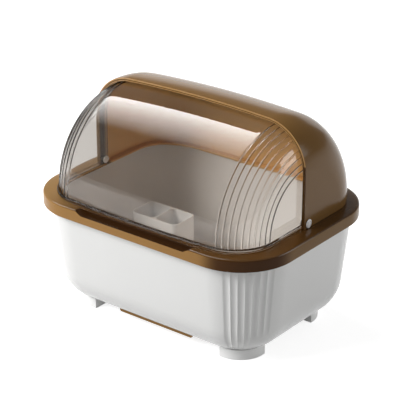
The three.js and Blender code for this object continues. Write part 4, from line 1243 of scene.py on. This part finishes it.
def make_comb(y):
    bm = bmesh.new()
    block(bm, (RACK_X - RACK_HALF_LENGTH, y - FINGER_HALF_WIDTH, COMB_LOW),
          (RACK_X + RACK_HALF_LENGTH, y + FINGER_HALF_WIDTH, STRIP_TOP))
    for i in range(FINGERS):
        x = RACK_X + (i - (FINGERS - 1) / 2) * FINGER_PITCH
        for edge in (-FINGER_HALF_THICKNESS, FINGER_HALF_THICKNESS):
            bmesh.ops.bisect_plane(bm, geom=everything(bm), plane_co=(x + edge, 0, 0),
                                   plane_no=(1, 0, 0))
        top_face = next(f for f in bm.faces if f.normal.z > 0.9
                        and f.calc_center_median().z > STRIP_TOP - LEVEL / 2
                        and abs(f.calc_center_median().x - x) < FINGER_HALF_THICKNESS)
        grown = bmesh.ops.extrude_discrete_faces(bm, faces=[top_face])["faces"][0]
        middle = grown.calc_center_median()
        shift(bm, grown.verts, (0, 0, FINGER_TOP - STRIP_TOP))
        for v in grown.verts:
            v.co.x = middle.x + (v.co.x - middle.x) * TIP_SHARE
            v.co.y = middle.y + (v.co.y - middle.y) * TIP_SHARE
    return bm


for side, word in ((-1, "front"), (1, "rear")):
    settle(f"comb_{word}", make_comb(RACK_Y + side * RAIL_HALF_SPACING), white_satin_lit, "base",
           [f"plate_comb_{word}"], 0.0008)

# %% [markdown]
# The cup is a rounded box with a partition, so two wells are cut into it, and slots let it drain.

# %% Cup
CUP_X = -0.106
CUP_Y = 0.04
CUP_HALF_LENGTH = 0.046
CUP_HALF_DEPTH = 0.027
CUP_LOW = 0.0384
CUP_TOP = 0.1164
CUP_CORNER = 0.01
CUP_WALL = 0.0018
CUP_STEPS = 12


def make_cup():
    bm = bmesh.new()
    edges = rounded_outline(bm, CUP_HALF_LENGTH, CUP_HALF_DEPTH, CUP_CORNER, CUP_LOW, CUP_STEPS)
    solid_between(bm, edges, CUP_LOW, CUP_TOP)
    shift(bm, bm.verts, (CUP_X, CUP_Y, 0))
    return bm


def make_cup_wells():
    bm = bmesh.new()
    half = (2 * CUP_HALF_LENGTH - 3 * CUP_WALL) / 4
    floor = CUP_LOW + CUP_WALL
    for side in (-1, 1):
        old = set(bm.verts)
        edges = rounded_outline(bm, half, CUP_HALF_DEPTH - CUP_WALL, CUP_CORNER - CUP_WALL,
                                floor, CUP_STEPS)
        solid_between(bm, edges, floor, CUP_TOP + 0.01)
        new = [v for v in bm.verts if v not in old]
        shift(bm, new, (CUP_X + side * (half + CUP_WALL / 2), CUP_Y, 0))
    return bm


CUP_HOLES = [(CUP_X + i * CUP_HALF_LENGTH / 2, CUP_Y + j * 0.018)
             for i in (-1.5, -0.5, 0.5, 1.5) for j in (-1, 0, 1)]
cup_holes = like_boxes(CUP_HOLES, 0.007, 0.002, 0.03, 0.05)
cup = settle("cup_body", make_cup(), white_satin_lit)
boolean(cup, "cup_wells", make_cup_wells())
boolean(cup, "cup_holes", boxes(*cup_holes))
dress(cup, "base", ["cutlery_cup"], 0.0005)

# %% [markdown]
# The runners under the floor are plain angle rails. A new mesh would add nothing to them, so the
# CAD solids stay and only get the white plastic.

# %% CAD pieces that stay
for name in ("tray_runner_left", "tray_runner_right"):
    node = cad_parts[name]
    node.data.materials.clear()
    node.data.materials.append(white_gloss)
    print(name, "keeps its CAD shape")

# %% [markdown]
# The floor is a pale sweep. More light would make it white but burn the tub out; instead the
# lamps light it a little, so that it keeps the cabinet's shadow, and seen directly or mirrored
# it is lifted up to white. Through the clear plastic it is lifted less, which gives the cover its
# smoky look.

# %% Floor
FLOOR_SIZE = 60
FLOOR_LIFT = 0.80
THROUGH_LIFT = 0.31
floor_material = bpy.data.materials.new("studio_floor")
floor_material.use_nodes = True
tree = floor_material.node_tree
shader = tree.nodes["Principled BSDF"]
set_values(shader, {"Base Color": (0.52, 0.52, 0.52, 1), "Roughness": 1,
                    "Specular IOR Level": 0, "Emission Color": (1, 1, 1, 1)})
path = add_node(tree, "LightPath")
seen = path.outputs["Is Camera Ray"]
for ray in ("Is Glossy Ray", "Is Transmission Ray"):
    either = add_node(tree, "Math")
    either.operation = "MAXIMUM"
    tree.links.new(seen, either.inputs[0])
    tree.links.new(path.outputs[ray], either.inputs[1])
    seen = either.outputs[0]
lift = remap(tree, path.outputs["Is Transmission Ray"], FLOOR_LIFT, THROUGH_LIFT)
tree.links.new(remap(tree, seen, 0.0, lift), shader.inputs["Emission Strength"])
bm = bmesh.new()
bmesh.ops.create_grid(bm, x_segments=1, y_segments=1, size=FLOOR_SIZE)
floor = new_object("studio_floor", bm)
floor.data.materials.append(floor_material)
print("floor", FLOOR_SIZE * 2, "m wide")
